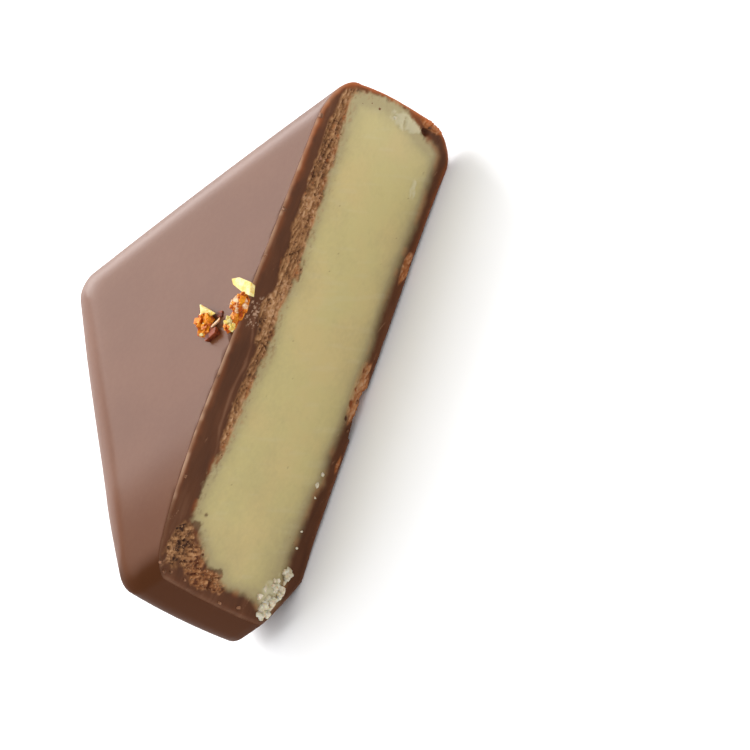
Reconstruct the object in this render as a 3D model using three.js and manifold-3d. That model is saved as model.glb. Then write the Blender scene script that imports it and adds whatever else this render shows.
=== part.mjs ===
// Half of a square marzipan chocolate, cut through just beside its middle.
// Millimetres, +Z up. It lies on its flat base, and the cut face looks towards -Y.
// Two bodies: the chocolate coat, open at the cut, and the marzipan that fills it.
// The crumbs of brittle on the top are one body with the coat that they are stuck to.
//
// Everything is first shaped in the frame of the top face, which is level there. The base
// slopes a little, so at the end the whole piece is tipped on to it and centred over it.

import * as THREE from "three";
import { mergeVertices } from "three/addons/utils/BufferGeometryUtils.js";
import Module from "manifold-3d";

const wasm = await Module();
wasm.setup();

// ---- The whole square, before the cut ----
const SIDE = 30.3; // across the walls where they are fullest
const HALF = SIDE / 2;
const SIDE_BOW = 0.22; // how far each side bows out at its middle
const TURN = THREE.MathUtils.degToRad(40.5); // first wall's direction, from the line of the cut
const MIDDLE = new THREE.Vector2(-0.75, 1.34); // the square's middle: it lies behind the cut
const CORNER_RADII = [1.7, 1.9, 1.2, 0.8]; // back, left, cut away, right, as seen at the cut

// ---- Height and edges of the coat ----
const THICKNESS = 13.7; // base to top at the middle of the cut
const BASE_SLOPE = THREE.MathUtils.degToRad(2.1); // the piece is thicker at its left end
const FEET = [[-15.1, 0], [17.6, 0], [0.4, 19.2]]; // corners where the coat set a little lower
const FOOT_DROOP = 0.2;
const FOOT_REACH = 2.0;
const SAG = 1.15; // the top sinks towards the left wall
const SAG_REACH = 8.4;
const SAG_POWER = 1.6;
const FULLEST_HEIGHT = 6.5; // the walls lean in above and below this height
const LEAN_AT_TOP = 0.15;
const RIGHT_LEAN_AT_TOP = 0.45;
const LEAN_AT_FOOT = 0.15;
const FULLEST_TO_EDGE = 5.5;

// Rounding of the top edge and of the foot: how far in, how far down or up, and how square
// (2 is a round, 1 a straight chamfer). The left wall differs from the others.
const RIM = { inset: 3.6, drop: 2.8, power: 2.0 };
const LEFT_RIM = { inset: 1.1, drop: 0.9, power: 2.0 };
const FOOT = { inset: 1.9, drop: 2.7, power: 1.8 };
const LEFT_FOOT = { inset: 3.4, drop: 2.2, power: 1.15 };
const LEFT_FROM = 0.97; // of half a side: beyond it a point belongs to the left wall
const LEFT_POWER = 2.7; // how late the coat's edges change on the way there

// ---- The marzipan inside the coat ----
const COAT_SIDE = 0.6; // the coat's thickness on the walls
const LEFT_COAT_SIDE = 1.0;
const COAT_BASE = 1.2;
const CORE_TOP = 11.35; // height of the marzipan's top away from its hollow
const CORE_HOLLOW = { depth: 1.05, middle: 1.2, reach: 8.5 }; // where the coat is thickest
const CORE_STEP = { height: 0.35, place: -9.8, reach: 0.6 }; // up to the left of here
const CORE_SAG_SHARE = 0.35; // of the sag of the coat's top
const CORE_RIM = { inset: 1.0, drop: 0.9, power: 2.0 };
const LEFT_CORE_RIM = { inset: 3.1, drop: 5.6, power: 1.25 };
const CORE_FOOT = { inset: 1.2, drop: 1.6, power: 2.0 };
const LEFT_CORE_FOOT = { inset: 2.3, drop: 1.6, power: 1.3 };
const GAP = 0.3; // clear space kept between the coat and the marzipan

// ---- The cut face ----
const CUT_STEP = 0.57; // spacing of the points that carry its relief
const CRAG_DEPTH = 0.5; // the broken chocolate, against the smooth band above it
const CRAG_LENGTH = 1.5;
const CRAG_HEIGHT = 0.55;
const BROKEN_TOP = 12.35; // the smooth band lies above this height
const BROKEN_BAND_FADE = 0.5; // over this height it turns into the smooth band
const BROKEN_LEFT = -9.8; // left of here the coat was cut clean
const BROKEN_RIGHT = 19.4;
const BROKEN_END_FADE = 1.5;
const MARZIPAN_WAVE = 0.09;
const MARZIPAN_WAVE_LENGTH = 3.4;
const LEFT_PATCH = { x: -17.9, z: 9.2, halfWidth: 1.7, halfHeight: 3.5 }; // broken coat there
const FOOT_CHIP = { x: -0.7, z: 0.5, halfWidth: 2.8, halfHeight: 1.2 }; // a chip off the foot
const CUT_REACH = { left: -26, right: 26, low: -4, high: 20, front: -30 }; // past the piece

// ---- Crumbs of brittle on the top, each by its middle, half sizes and turn about +Z ----
const BRITTLE_SINK = 0.3; // how deep each crumb sits in the coat
const BRITTLE_ROUGHNESS = 0.26;
const BRITTLE = [
  { x: -0.7, y: 3.2, size: [1.25, 0.95, 0.75], turn: 0.5, seed: 3 },
  { x: 0.85, y: 0.2, size: [0.8, 1.05, 0.75], turn: -0.2, seed: 8 },
  { x: -0.5, y: 0.75, size: [0.95, 0.55, 0.5], turn: 0.35, seed: 13 },
  { x: 2.3, y: 0.7, size: [0.6, 1.25, 0.5], turn: 0.25, seed: 21 },
];

// ---- Fineness of the meshes ----
const TOP_RINGS = [0.8, 0.6, 0.42, 0.3]; // how far in towards the middle, from its share
const BASE_RINGS = [0.4, 0.7];
const CORNER_STEPS = 5;
const SIDE_STEPS = 15;
const EDGE_STEPS = 5;
const WALL_STEPS = 4;

// ---- Small helpers ----

const clamp01 = (t) => THREE.MathUtils.clamp(t, 0, 1);
const bump = (t) => Math.exp(-t * t);
const blendEdge = (a, b, t) => ({
  inset: THREE.MathUtils.lerp(a.inset, b.inset, t),
  drop: THREE.MathUtils.lerp(a.drop, b.drop, t),
  power: THREE.MathUtils.lerp(a.power, b.power, t),
});

/** A repeatable number in -1..1 for a point of a whole-number lattice. */
function latticeValue(i, j, seed) {
  const s = Math.sin(i * 127.1 + j * 311.7 + seed * 74.7) * 43758.5453;
  return 2 * (s - Math.floor(s)) - 1;
}

/** Smooth noise in -1..1 over the plane. */
function noise(x, y, seed) {
  const i = Math.floor(x);
  const j = Math.floor(y);
  const u = THREE.MathUtils.smoothstep(x - i, 0, 1);
  const v = THREE.MathUtils.smoothstep(y - j, 0, 1);
  const near = THREE.MathUtils.lerp(latticeValue(i, j, seed), latticeValue(i + 1, j, seed), u);
  const far = THREE.MathUtils.lerp(
    latticeValue(i, j + 1, seed), latticeValue(i + 1, j + 1, seed), u);
  return THREE.MathUtils.lerp(near, far, v);
}

// ---- The square's outline ----

/** The whole outline in the square's own axes, with round corners and slightly bowed sides. */
function squareOutline() {
  const outline = [];
  const signs = [[1, 1], [-1, 1], [-1, -1], [1, -1]];
  signs.forEach(([su, sv], corner) => {
    const radius = CORNER_RADII[corner];
    for (let k = 0; k <= CORNER_STEPS; k++) {
      const angle = (Math.PI / 2) * (corner + k / CORNER_STEPS);
      outline.push(new THREE.Vector2(
        su * (HALF - radius) + radius * Math.cos(angle),
        sv * (HALF - radius) + radius * Math.sin(angle)));
    }
    const start = outline[outline.length - 1];
    const [nu, nv] = signs[(corner + 1) % 4];
    const nextRadius = CORNER_RADII[(corner + 1) % 4];
    const along = (Math.PI / 2) * (corner + 1);
    const end = new THREE.Vector2(
      nu * (HALF - nextRadius) + nextRadius * Math.cos(along),
      nv * (HALF - nextRadius) + nextRadius * Math.sin(along));
    for (let k = 1; k < SIDE_STEPS; k++) {
      outline.push(start.clone().lerp(end, k / SIDE_STEPS));
    }
  });
  return outline.map((p) => {
    const bowU = SIDE_BOW * (1 - (p.y / HALF) ** 2) * Math.abs(p.x / HALF) ** 3;
    const bowV = SIDE_BOW * (1 - (p.x / HALF) ** 2) * Math.abs(p.y / HALF) ** 3;
    return new THREE.Vector2(p.x + Math.sign(p.x) * bowU, p.y + Math.sign(p.y) * bowV);
  });
}

/** How much a point of the outline belongs to the left wall, from 0 to 1, where the edges
 * change all along the sides that lead to it. */
const gradualLeftness = (p) => clamp01(-p.x / HALF / LEFT_FROM) ** LEFT_POWER;

/** The same where they change close to the wall only. */
const suddenLeftness = (p) => THREE.MathUtils.smoothstep(-p.x / HALF, 0.72, LEFT_FROM);

/** How much it belongs to the right wall. */
const rightness = (p) => clamp01(2 * p.x / HALF - 1);

// ---- Heights over the plan ----

const baseHeight = (x) => Math.tan(BASE_SLOPE) * x;

/** The underside of the coat: flat, and lower at the three corners that it stands on. */
function footHeight(at) {
  const closest = Math.min(...FEET.map(([x, y]) => Math.hypot(at.x - x, at.y - y)));
  return baseHeight(at.x) - FOOT_DROOP * bump(closest / FOOT_REACH);
}

/** The top face, from how far a point is towards the right wall in the square's axes. */
function topHeight(u) {
  const reach = clamp01((-u - (HALF - SAG_REACH)) / SAG_REACH);
  return THICKNESS - SAG * reach ** SAG_POWER;
}

/** The marzipan's top along the cut: it is lowest where the coat is broken and thick. */
function coreTopHeight(x, u) {
  const hollow = CORE_HOLLOW.depth * bump((x - CORE_HOLLOW.middle) / CORE_HOLLOW.reach);
  const step = CORE_STEP.height * clamp01((CORE_STEP.place - x) / CORE_STEP.reach);
  const sag = CORE_SAG_SHARE * (THICKNESS - topHeight(u));
  return CORE_TOP - hollow + step - sag;
}

// ---- Bodies made of rings: from the top's middle over the walls to the base's middle ----

/** The rings in order: across the top, round its edge, down the wall, the foot, the base. */
function profileStations() {
  const stations = [];
  for (const inward of TOP_RINGS) stations.push({ zone: "top", inward });
  for (let k = 0; k <= EDGE_STEPS; k++) stations.push({ zone: "rim", t: k / EDGE_STEPS });
  for (let k = 1; k < WALL_STEPS; k++) stations.push({ zone: "wall", t: k / WALL_STEPS });
  for (let k = 0; k <= EDGE_STEPS; k++) stations.push({ zone: "foot", t: k / EDGE_STEPS });
  for (const inward of BASE_RINGS) stations.push({ zone: "base", inward });
  return stations;
}

/** A point of the rounded square, `inset` in from its outline, in the part's plan. */
function planPoint(outlinePoint, inset) {
  const local = outlinePoint.clone().multiplyScalar(1 - inset / HALF);
  const place = local.clone().rotateAround(new THREE.Vector2(), TURN).add(MIDDLE);
  return { u: local.x, x: place.x, y: place.y };
}

/** How far the wall at a point of the outline leans in at a height. */
function wallLean(p, z) {
  const off = clamp01(Math.abs(z - FULLEST_HEIGHT) / FULLEST_TO_EDGE);
  const atTop = THREE.MathUtils.lerp(LEAN_AT_TOP, RIGHT_LEAN_AT_TOP, rightness(p));
  return (z > FULLEST_HEIGHT ? atTop : LEAN_AT_FOOT) * off * off;
}

/** The ring point of one station over one point of the outline, as [x, y, z]. */
function ringPoint(form, station, p) {
  const leftness = form.leftness(p);
  const rim = blendEdge(form.rim, form.leftRim, leftness);
  const foot = blendEdge(form.foot, form.leftFoot, leftness);
  const side = THREE.MathUtils.lerp(form.side, form.leftSide, leftness);
  const wall = planPoint(p, side);
  const rimFoot = form.top(wall) - rim.drop;
  const footTop = form.base(wall) + foot.drop;
  const angle = (Math.PI / 2) * station.t;

  if (station.zone === "top") {
    const at = planPoint(p, HALF * station.inward);
    return [at.x, at.y, form.top(at)];
  }
  if (station.zone === "base") {
    const at = planPoint(p, HALF * station.inward);
    return [at.x, at.y, form.base(at)];
  }
  if (station.zone === "wall") {
    const z = THREE.MathUtils.lerp(rimFoot, footTop, station.t);
    const at = planPoint(p, side + wallLean(p, z));
    return [at.x, at.y, z];
  }
  if (station.zone === "rim") {
    const inset = side + rim.inset * (1 - Math.sin(angle) ** (2 / rim.power));
    const drop = rim.drop * (1 - Math.cos(angle) ** (2 / rim.power));
    const at = planPoint(p, inset + wallLean(p, rimFoot) * station.t);
    return [at.x, at.y, form.top(planPoint(p, inset)) - drop];
  }
  const inset = side + foot.inset * (1 - Math.cos(angle) ** (2 / foot.power));
  const rise = foot.drop * (1 - Math.sin(angle) ** (2 / foot.power));
  const at = planPoint(p, inset + wallLean(p, footTop));
  return [at.x, at.y, form.base(at) + rise];
}

/** A closed body over the square's outline from a form: insets, edges and heights. */
function squareBody(form) {
  const outline = squareOutline();
  const stations = profileStations();
  const positions = stations.flatMap(
    (station) => outline.flatMap((p) => ringPoint(form, station, p)));
  positions.push(MIDDLE.x, MIDDLE.y, form.top({ x: MIDDLE.x, u: 0 }));
  positions.push(MIDDLE.x, MIDDLE.y, form.base(MIDDLE));

  const ring = outline.length;
  const rings = stations.length;
  const topMiddle = ring * rings;
  const baseMiddle = topMiddle + 1;
  const triangles = [];
  for (let k = 0; k < ring; k++) {
    const next = (k + 1) % ring;
    triangles.push(topMiddle, k, next);
    for (let r = 0; r + 1 < rings; r++) {
      const a = r * ring + k;
      const b = r * ring + next;
      triangles.push(a, a + ring, b + ring, a, b + ring, b);
    }
    const last = (rings - 1) * ring;
    triangles.push(baseMiddle, last + next, last + k);
  }
  return toGeometry(positions, triangles);
}

function toGeometry(positions, triangles) {
  const geometry = new THREE.BufferGeometry();
  geometry.setAttribute("position", new THREE.Float32BufferAttribute(positions, 3));
  geometry.setIndex(triangles);
  return geometry;
}

// ---- The cut ----

/** How far a point of the cut lies in an oval patch: 1 at its middle, 0 outside. */
function inPatch(patch, x, z) {
  const reach = Math.hypot((x - patch.x) / patch.halfWidth, (z - patch.z) / patch.halfHeight);
  return clamp01(1.6 * (1 - reach));
}

/** How broken the chocolate is at a point of the cut, from 0 to 1. */
function brokenness(x, z) {
  const marzipanTop = coreTopHeight(x, 0);
  const under = clamp01((BROKEN_TOP - z) / BROKEN_BAND_FADE);
  const over = clamp01((z - marzipanTop + GAP) / BROKEN_BAND_FADE);
  const fromLeft = clamp01((x - BROKEN_LEFT) / BROKEN_END_FADE);
  const fromRight = clamp01((BROKEN_RIGHT - x) / BROKEN_END_FADE);
  const band = under * over * fromLeft * fromRight;
  return Math.max(band, inPatch(LEFT_PATCH, x, z), inPatch(FOOT_CHIP, x, z));
}

/** How far behind the plane of the cut its surface lies. */
function cutDepth(x, z) {
  const crag = 0.3 + noise(x / CRAG_LENGTH, z / CRAG_HEIGHT, 5);
  const wave = MARZIPAN_WAVE * noise(x / MARZIPAN_WAVE_LENGTH, z / MARZIPAN_WAVE_LENGTH, 9);
  return wave + CRAG_DEPTH * brokenness(x, z) * crag;
}

/** What the cut takes away: a block in front of the piece with the relief on its back. */
function cutBlock() {
  const { left, right, low, high, front } = CUT_REACH;
  const columns = Math.round((right - left) / CUT_STEP);
  const rows = Math.round((high - low) / CUT_STEP);
  const positions = [];
  for (const back of [true, false]) {
    for (let j = 0; j <= rows; j++) {
      for (let i = 0; i <= columns; i++) {
        const x = THREE.MathUtils.lerp(left, right, i / columns);
        const z = THREE.MathUtils.lerp(low, high, j / rows);
        positions.push(x, back ? cutDepth(x, z) : front, z);
      }
    }
  }
  const layer = (rows + 1) * (columns + 1);
  const at = (i, j, isBack) => (isBack ? 0 : layer) + j * (columns + 1) + i;
  const triangles = [];
  const quad = (a, b, c, d) => triangles.push(a, b, c, a, c, d);
  for (let j = 0; j < rows; j++) {
    for (let i = 0; i < columns; i++) {
      quad(at(i + 1, j, true), at(i, j, true), at(i, j + 1, true), at(i + 1, j + 1, true));
      quad(at(i, j, false), at(i + 1, j, false), at(i + 1, j + 1, false), at(i, j + 1, false));
    }
  }
  for (let i = 0; i < columns; i++) {
    quad(at(i, 0, true), at(i + 1, 0, true), at(i + 1, 0, false), at(i, 0, false));
    quad(at(i + 1, rows, true), at(i, rows, true), at(i, rows, false), at(i + 1, rows, false));
  }
  for (let j = 0; j < rows; j++) {
    quad(at(0, j + 1, true), at(0, j, true), at(0, j, false), at(0, j + 1, false));
    quad(at(columns, j, true), at(columns, j + 1, true),
      at(columns, j + 1, false), at(columns, j, false));
  }
  return toGeometry(positions, triangles);
}

// ---- Brittle ----

/** One broken crumb of brittle, standing in the coat at its place. */
function brittleCrumb(crumb) {
  let geometry = new THREE.IcosahedronGeometry(1, 1);
  geometry.deleteAttribute("normal");
  geometry.deleteAttribute("uv");
  geometry = mergeVertices(geometry, 1e-4);
  const position = geometry.getAttribute("position");
  const point = new THREE.Vector3();
  for (let i = 0; i < position.count; i++) {
    point.fromBufferAttribute(position, i);
    const rough = noise(3 * point.x + 2 * point.z, 3 * point.y - 2 * point.z, crumb.seed);
    point.multiplyScalar(1 + BRITTLE_ROUGHNESS * rough);
    position.setXYZ(i, point.x, point.y, point.z);
  }
  const [sizeX, sizeY, sizeZ] = crumb.size;
  geometry.scale(sizeX, sizeY, sizeZ);
  geometry.rotateZ(crumb.turn);
  geometry.translate(crumb.x, crumb.y, THICKNESS + sizeZ - BRITTLE_SINK);
  return geometry;
}

// ---- Joining and cutting ----

function toSolid(geometry) {
  return new wasm.Manifold(new wasm.Mesh({
    numProp: 3,
    vertProperties: new Float32Array(geometry.getAttribute("position").array),
    triVerts: new Uint32Array(geometry.getIndex().array),
  }));
}

function fromSolid(solid) {
  const mesh = solid.getMesh();
  return toGeometry(mesh.vertProperties, Array.from(mesh.triVerts));
}

const outerForm = {
  top: (at) => topHeight(at.u),
  base: footHeight,
  side: 0,
  leftSide: 0,
  leftness: gradualLeftness,
  rim: RIM,
  leftRim: LEFT_RIM,
  foot: FOOT,
  leftFoot: LEFT_FOOT,
};

/** The marzipan's form, or the room for it in the coat, which is `clearance` larger. */
const coreForm = (clearance) => ({
  top: (at) => coreTopHeight(at.x, at.u) + clearance,
  base: (at) => baseHeight(at.x) + COAT_BASE - clearance,
  side: COAT_SIDE - clearance,
  leftSide: LEFT_COAT_SIDE - clearance,
  leftness: suddenLeftness,
  rim: CORE_RIM,
  leftRim: LEFT_CORE_RIM,
  foot: CORE_FOOT,
  leftFoot: LEFT_CORE_FOOT,
});

const cutAway = toSolid(cutBlock());
const marzipanSolid = toSolid(squareBody(coreForm(-GAP))).subtract(cutAway);
let coatSolid = toSolid(squareBody(outerForm));
coatSolid = coatSolid.subtract(toSolid(squareBody(coreForm(0)))).subtract(cutAway);
for (const crumb of BRITTLE) coatSolid = coatSolid.add(toSolid(brittleCrumb(crumb)));

// ---- The part ----

/** A named mesh of one body. */
function namedMesh(name, solid, look) {
  const mesh = new THREE.Mesh(fromSolid(solid), new THREE.MeshStandardMaterial(look));
  mesh.name = name;
  return mesh;
}

const tipped = new THREE.Group();
tipped.rotation.y = BASE_SLOPE;
tipped.add(
  namedMesh("chocolate_coat", coatSolid, { color: 0x6b4433, roughness: 0.4, metalness: 0 }),
  namedMesh("marzipan", marzipanSolid, { color: 0xc8b888, roughness: 0.75, metalness: 0 }));

const part = new THREE.Group();
part.add(tipped);
part.updateMatrixWorld(true);
const box = new THREE.Box3().setFromObject(part, true);
part.position.set(-(box.min.x + box.max.x) / 2, -(box.min.y + box.max.y) / 2, -box.min.z);
part.updateMatrixWorld(true);

export default part;
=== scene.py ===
"""Half of a square marzipan chocolate, cut through just beside its middle, lying on its base.

The classes work in millimetres, in the frame of the cut: x along the cut, y into the piece,
z up from the middle of the base, with the top face level. Placement turns that into metres in
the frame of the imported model, where the base is level instead.
"""

import logging
import math
from dataclasses import dataclass
from enum import Enum

import bmesh
import bpy
import numpy as np
from mathutils import Matrix, Quaternion, Vector

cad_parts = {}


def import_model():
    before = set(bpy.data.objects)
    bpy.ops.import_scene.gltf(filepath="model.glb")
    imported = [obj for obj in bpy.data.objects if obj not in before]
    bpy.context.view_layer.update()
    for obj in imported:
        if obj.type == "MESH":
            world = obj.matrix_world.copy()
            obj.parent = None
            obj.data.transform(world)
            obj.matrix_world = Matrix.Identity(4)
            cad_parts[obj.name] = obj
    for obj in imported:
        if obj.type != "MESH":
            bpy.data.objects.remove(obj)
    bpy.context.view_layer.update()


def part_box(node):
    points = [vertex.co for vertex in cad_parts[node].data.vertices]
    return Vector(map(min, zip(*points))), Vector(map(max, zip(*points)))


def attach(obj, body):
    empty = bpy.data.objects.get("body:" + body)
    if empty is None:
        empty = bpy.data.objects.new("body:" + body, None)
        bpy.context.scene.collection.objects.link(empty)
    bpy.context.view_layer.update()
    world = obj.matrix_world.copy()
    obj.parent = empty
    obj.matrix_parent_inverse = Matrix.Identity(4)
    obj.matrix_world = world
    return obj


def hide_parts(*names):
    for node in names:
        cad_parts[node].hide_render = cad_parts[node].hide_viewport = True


LOG = logging.getLogger("marzipan_chocolate")
METRES = 0.001  # in a millimetre
FAT_IOR = 1.45  # of cocoa butter and almond oil
SUGAR_IOR = 1.5


class Source(Enum):
    """Which surface a face of a cut body comes from."""

    OUTSIDE = 1
    CAVITY = 2
    KNIFE = 3


# ---- Number helpers ----


def smooth_rise(values: np.ndarray, low: float, high: float) -> np.ndarray:
    """Rise smoothly from 0 at low to 1 at high.

    Args:
        values: Any array.
        low: Where the rise starts.
        high: Where it ends.

    Returns:
        An array of the same shape in 0..1.
    """
    t = np.clip((values - low) / (high - low), 0.0, 1.0)
    return t * t * (3.0 - 2.0 * t)


def hill(values: np.ndarray) -> np.ndarray:
    """Return a bell of height 1 and width 1 round zero."""
    return np.exp(-values * values)


def hashed(i: np.ndarray, j: np.ndarray, seed: int) -> np.ndarray:
    """Give each point of a whole-number lattice a repeatable number.

    Args:
        i: Whole numbers as int64.
        j: Whole numbers as int64.
        seed: Picks another set of numbers.

    Returns:
        Numbers in -1..1.
    """
    mixed = (i * 374761393 + j * 668265263 + seed * 144266504) & 0xFFFFFFFF
    mixed = ((mixed ^ (mixed >> 13)) * 1274126177) & 0xFFFFFFFF
    mixed = mixed ^ (mixed >> 16)
    return mixed / 2147483647.5 - 1.0


def noise(x: np.ndarray, y: np.ndarray, seed: int) -> np.ndarray:
    """Spread smooth noise over the plane.

    Args:
        x: First coordinate, in units of a feature.
        y: Second coordinate, likewise.
        seed: Picks another pattern.

    Returns:
        Noise in -1..1.
    """
    i = np.floor(x).astype(np.int64)
    j = np.floor(y).astype(np.int64)
    u = smooth_rise(x - i, 0.0, 1.0)
    v = smooth_rise(y - j, 0.0, 1.0)
    near = hashed(i, j, seed) * (1 - u) + hashed(i + 1, j, seed) * u
    far = hashed(i, j + 1, seed) * (1 - u) + hashed(i + 1, j + 1, seed) * u
    return near * (1 - v) + far * v


def fractal(x: np.ndarray, y: np.ndarray, seed: int, octaves: int = 4) -> np.ndarray:
    """Sum octaves of noise, each half as large and twice as fine.

    Args:
        x: First coordinate, in units of the largest feature.
        y: Second coordinate, likewise.
        seed: Picks another pattern.
        octaves: How many layers.

    Returns:
        Noise in about -1..1.
    """
    total = np.zeros_like(x, dtype=float)
    size = 1.0
    reach = 0.0
    for octave in range(octaves):
        total += size * noise(x / size, y / size, seed + octave)
        reach += size
        size *= 0.5
    return total / reach * 1.4


def billow(x: np.ndarray, y: np.ndarray, seed: int, octaves: int = 3) -> np.ndarray:
    """Sum octaves of folded noise: rounded mounds with narrow creases between them.

    Args:
        x: First coordinate, in units of the largest feature.
        y: Second coordinate, likewise.
        seed: Picks another pattern.
        octaves: How many layers.

    Returns:
        Heights in 0..1, 0 in the creases.
    """
    total = np.zeros_like(x, dtype=float)
    size = 1.0
    reach = 0.0
    for octave in range(octaves):
        total += size * np.abs(noise(x / size, y / size, seed + octave))
        reach += size
        size *= 0.5
    return np.clip(total / reach * 1.8, 0.0, 1.0)


@dataclass
class CellPattern:
    """What each point of a pattern of irregular cells gets from the cell that it lies in."""

    across: np.ndarray  # from the cell's middle
    up: np.ndarray
    chance: np.ndarray  # a number in -1..1 of the cell


def cells(x: np.ndarray, y: np.ndarray, seed: int) -> CellPattern:
    """Split the plane into irregular cells of about unit size.

    Args:
        x: First coordinate in cell sizes.
        y: Second coordinate in cell sizes.
        seed: Picks another pattern.

    Returns:
        The pattern at each point.
    """
    i0 = np.floor(x).astype(np.int64)
    j0 = np.floor(y).astype(np.int64)
    best = np.full(x.shape, 9.0)
    across, up = np.zeros(x.shape), np.zeros(x.shape)
    i_best, j_best = i0.copy(), j0.copy()
    for di in (-1, 0, 1):
        for dj in (-1, 0, 1):
            i, j = i0 + di, j0 + dj
            dx = x - (i + 0.5 + 0.46 * hashed(i, j, seed))
            dy = y - (j + 0.5 + 0.46 * hashed(i, j, seed + 1))
            distance = np.hypot(dx, dy)
            nearer = distance < best
            best = np.where(nearer, distance, best)
            across = np.where(nearer, dx, across)
            up = np.where(nearer, dy, up)
            i_best = np.where(nearer, i, i_best)
            j_best = np.where(nearer, j, j_best)
    return CellPattern(across, up, hashed(i_best, j_best, seed + 2))


# ---- The forms of the coat and of the marzipan ----


@dataclass(frozen=True)
class Edge:
    """The rounding of an edge: how far in, how far down or up, and how square.

    A power of 2 is a round and 1 is a straight chamfer.
    """

    inset: float
    drop: float
    power: float

    def towards(self, other: "Edge", share: np.ndarray) -> tuple[np.ndarray, ...]:
        """Return inset, drop and power between this edge and another."""
        return tuple(
            a + (b - a) * share
            for a, b in (
                (self.inset, other.inset),
                (self.drop, other.drop),
                (self.power, other.power),
            )
        )


@dataclass(frozen=True)
class Square:
    """The whole square before it was cut: its outline, its heights and its leaning walls."""

    side: float = 30.3
    bow: float = 0.22
    turn: float = math.radians(40.5)
    middle: tuple[float, float] = (-0.75, 1.34)
    corner_radii: tuple[float, ...] = (1.7, 1.9, 1.2, 0.8)
    thickness: float = 13.7
    base_slope: float = math.radians(2.1)
    sag: float = 1.15
    sag_reach: float = 8.4
    sag_power: float = 1.6
    feet: tuple[tuple[float, float], ...] = ((-15.1, 0.0), (17.6, 0.0), (0.4, 19.2))
    foot_droop: float = 0.2
    foot_reach: float = 2.0
    fullest_height: float = 6.5
    fullest_to_edge: float = 5.5
    lean_at_top: float = 0.15
    right_lean_at_top: float = 0.45
    lean_at_foot: float = 0.15
    corner_steps: int = 14
    side_steps: int = 44

    @property
    def half(self) -> float:
        """Half of the side."""
        return self.side / 2

    def outline(self) -> np.ndarray:
        """Work out the outline in the square's own axes.

        Returns:
            Its points, counter-clockwise.
        """
        points = []
        signs = [(1, 1), (-1, 1), (-1, -1), (1, -1)]
        for corner, (su, sv) in enumerate(signs):
            radius = self.corner_radii[corner]
            for k in range(self.corner_steps + 1):
                angle = math.pi / 2 * (corner + k / self.corner_steps)
                points.append(
                    (
                        su * (self.half - radius) + radius * math.cos(angle),
                        sv * (self.half - radius) + radius * math.sin(angle),
                    )
                )
            start = np.array(points[-1])
            nu, nv = signs[(corner + 1) % 4]
            following = self.corner_radii[(corner + 1) % 4]
            along = math.pi / 2 * (corner + 1)
            end = np.array(
                (
                    nu * (self.half - following) + following * math.cos(along),
                    nv * (self.half - following) + following * math.sin(along),
                )
            )
            for k in range(1, self.side_steps):
                points.append(tuple(start + (end - start) * k / self.side_steps))
        p = np.array(points)
        share = p / self.half
        bowed_u = self.bow * (1 - share[:, 1] ** 2) * np.abs(share[:, 0]) ** 3
        bowed_v = self.bow * (1 - share[:, 0] ** 2) * np.abs(share[:, 1]) ** 3
        p[:, 0] += np.sign(p[:, 0]) * bowed_u
        p[:, 1] += np.sign(p[:, 1]) * bowed_v
        return p

    def plan(self, outline: np.ndarray, inset: np.ndarray | float) -> np.ndarray:
        """Place points that lie inset from the outline.

        Args:
            outline: Points of the outline in the square's own axes.
            inset: How far in from it.

        Returns:
            Rows of (u towards the right wall, x, y).
        """
        local = outline * (1 - np.asarray(inset) / self.half).reshape(-1, 1)
        c, s = math.cos(self.turn), math.sin(self.turn)
        x = local[:, 0] * c - local[:, 1] * s + self.middle[0]
        y = local[:, 0] * s + local[:, 1] * c + self.middle[1]
        return np.stack([local[:, 0], x, y], axis=1)

    def top_height(self, u: np.ndarray) -> np.ndarray:
        """Return the height of the top face, which sinks towards the left wall."""
        reach = np.clip((-u - (self.half - self.sag_reach)) / self.sag_reach, 0.0, 1.0)
        return self.thickness - self.sag * reach**self.sag_power

    def base_height(self, x: np.ndarray) -> np.ndarray:
        """Return the height of the level base in the frame of the cut."""
        return math.tan(self.base_slope) * x

    def foot_height(self, x: np.ndarray, y: np.ndarray) -> np.ndarray:
        """Return the underside's height: flat, and lower at the three corners it stands on."""
        closest = np.min([np.hypot(x - fx, y - fy) for fx, fy in self.feet], axis=0)
        return self.base_height(x) - self.foot_droop * hill(closest / self.foot_reach)

    def wall_lean(self, outline: np.ndarray, z: np.ndarray) -> np.ndarray:
        """Work out how far the wall leans in.

        Args:
            outline: Points of the outline in the square's own axes.
            z: The height at each.

        Returns:
            How far in each point moves.
        """
        off = np.clip(np.abs(z - self.fullest_height) / self.fullest_to_edge, 0.0, 1.0)
        rightness = np.clip(2 * outline[:, 0] / self.half - 1, 0.0, 1.0)
        at_top = self.lean_at_top + (self.right_lean_at_top - self.lean_at_top) * rightness
        return np.where(z > self.fullest_height, at_top, self.lean_at_foot) * off * off


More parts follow.
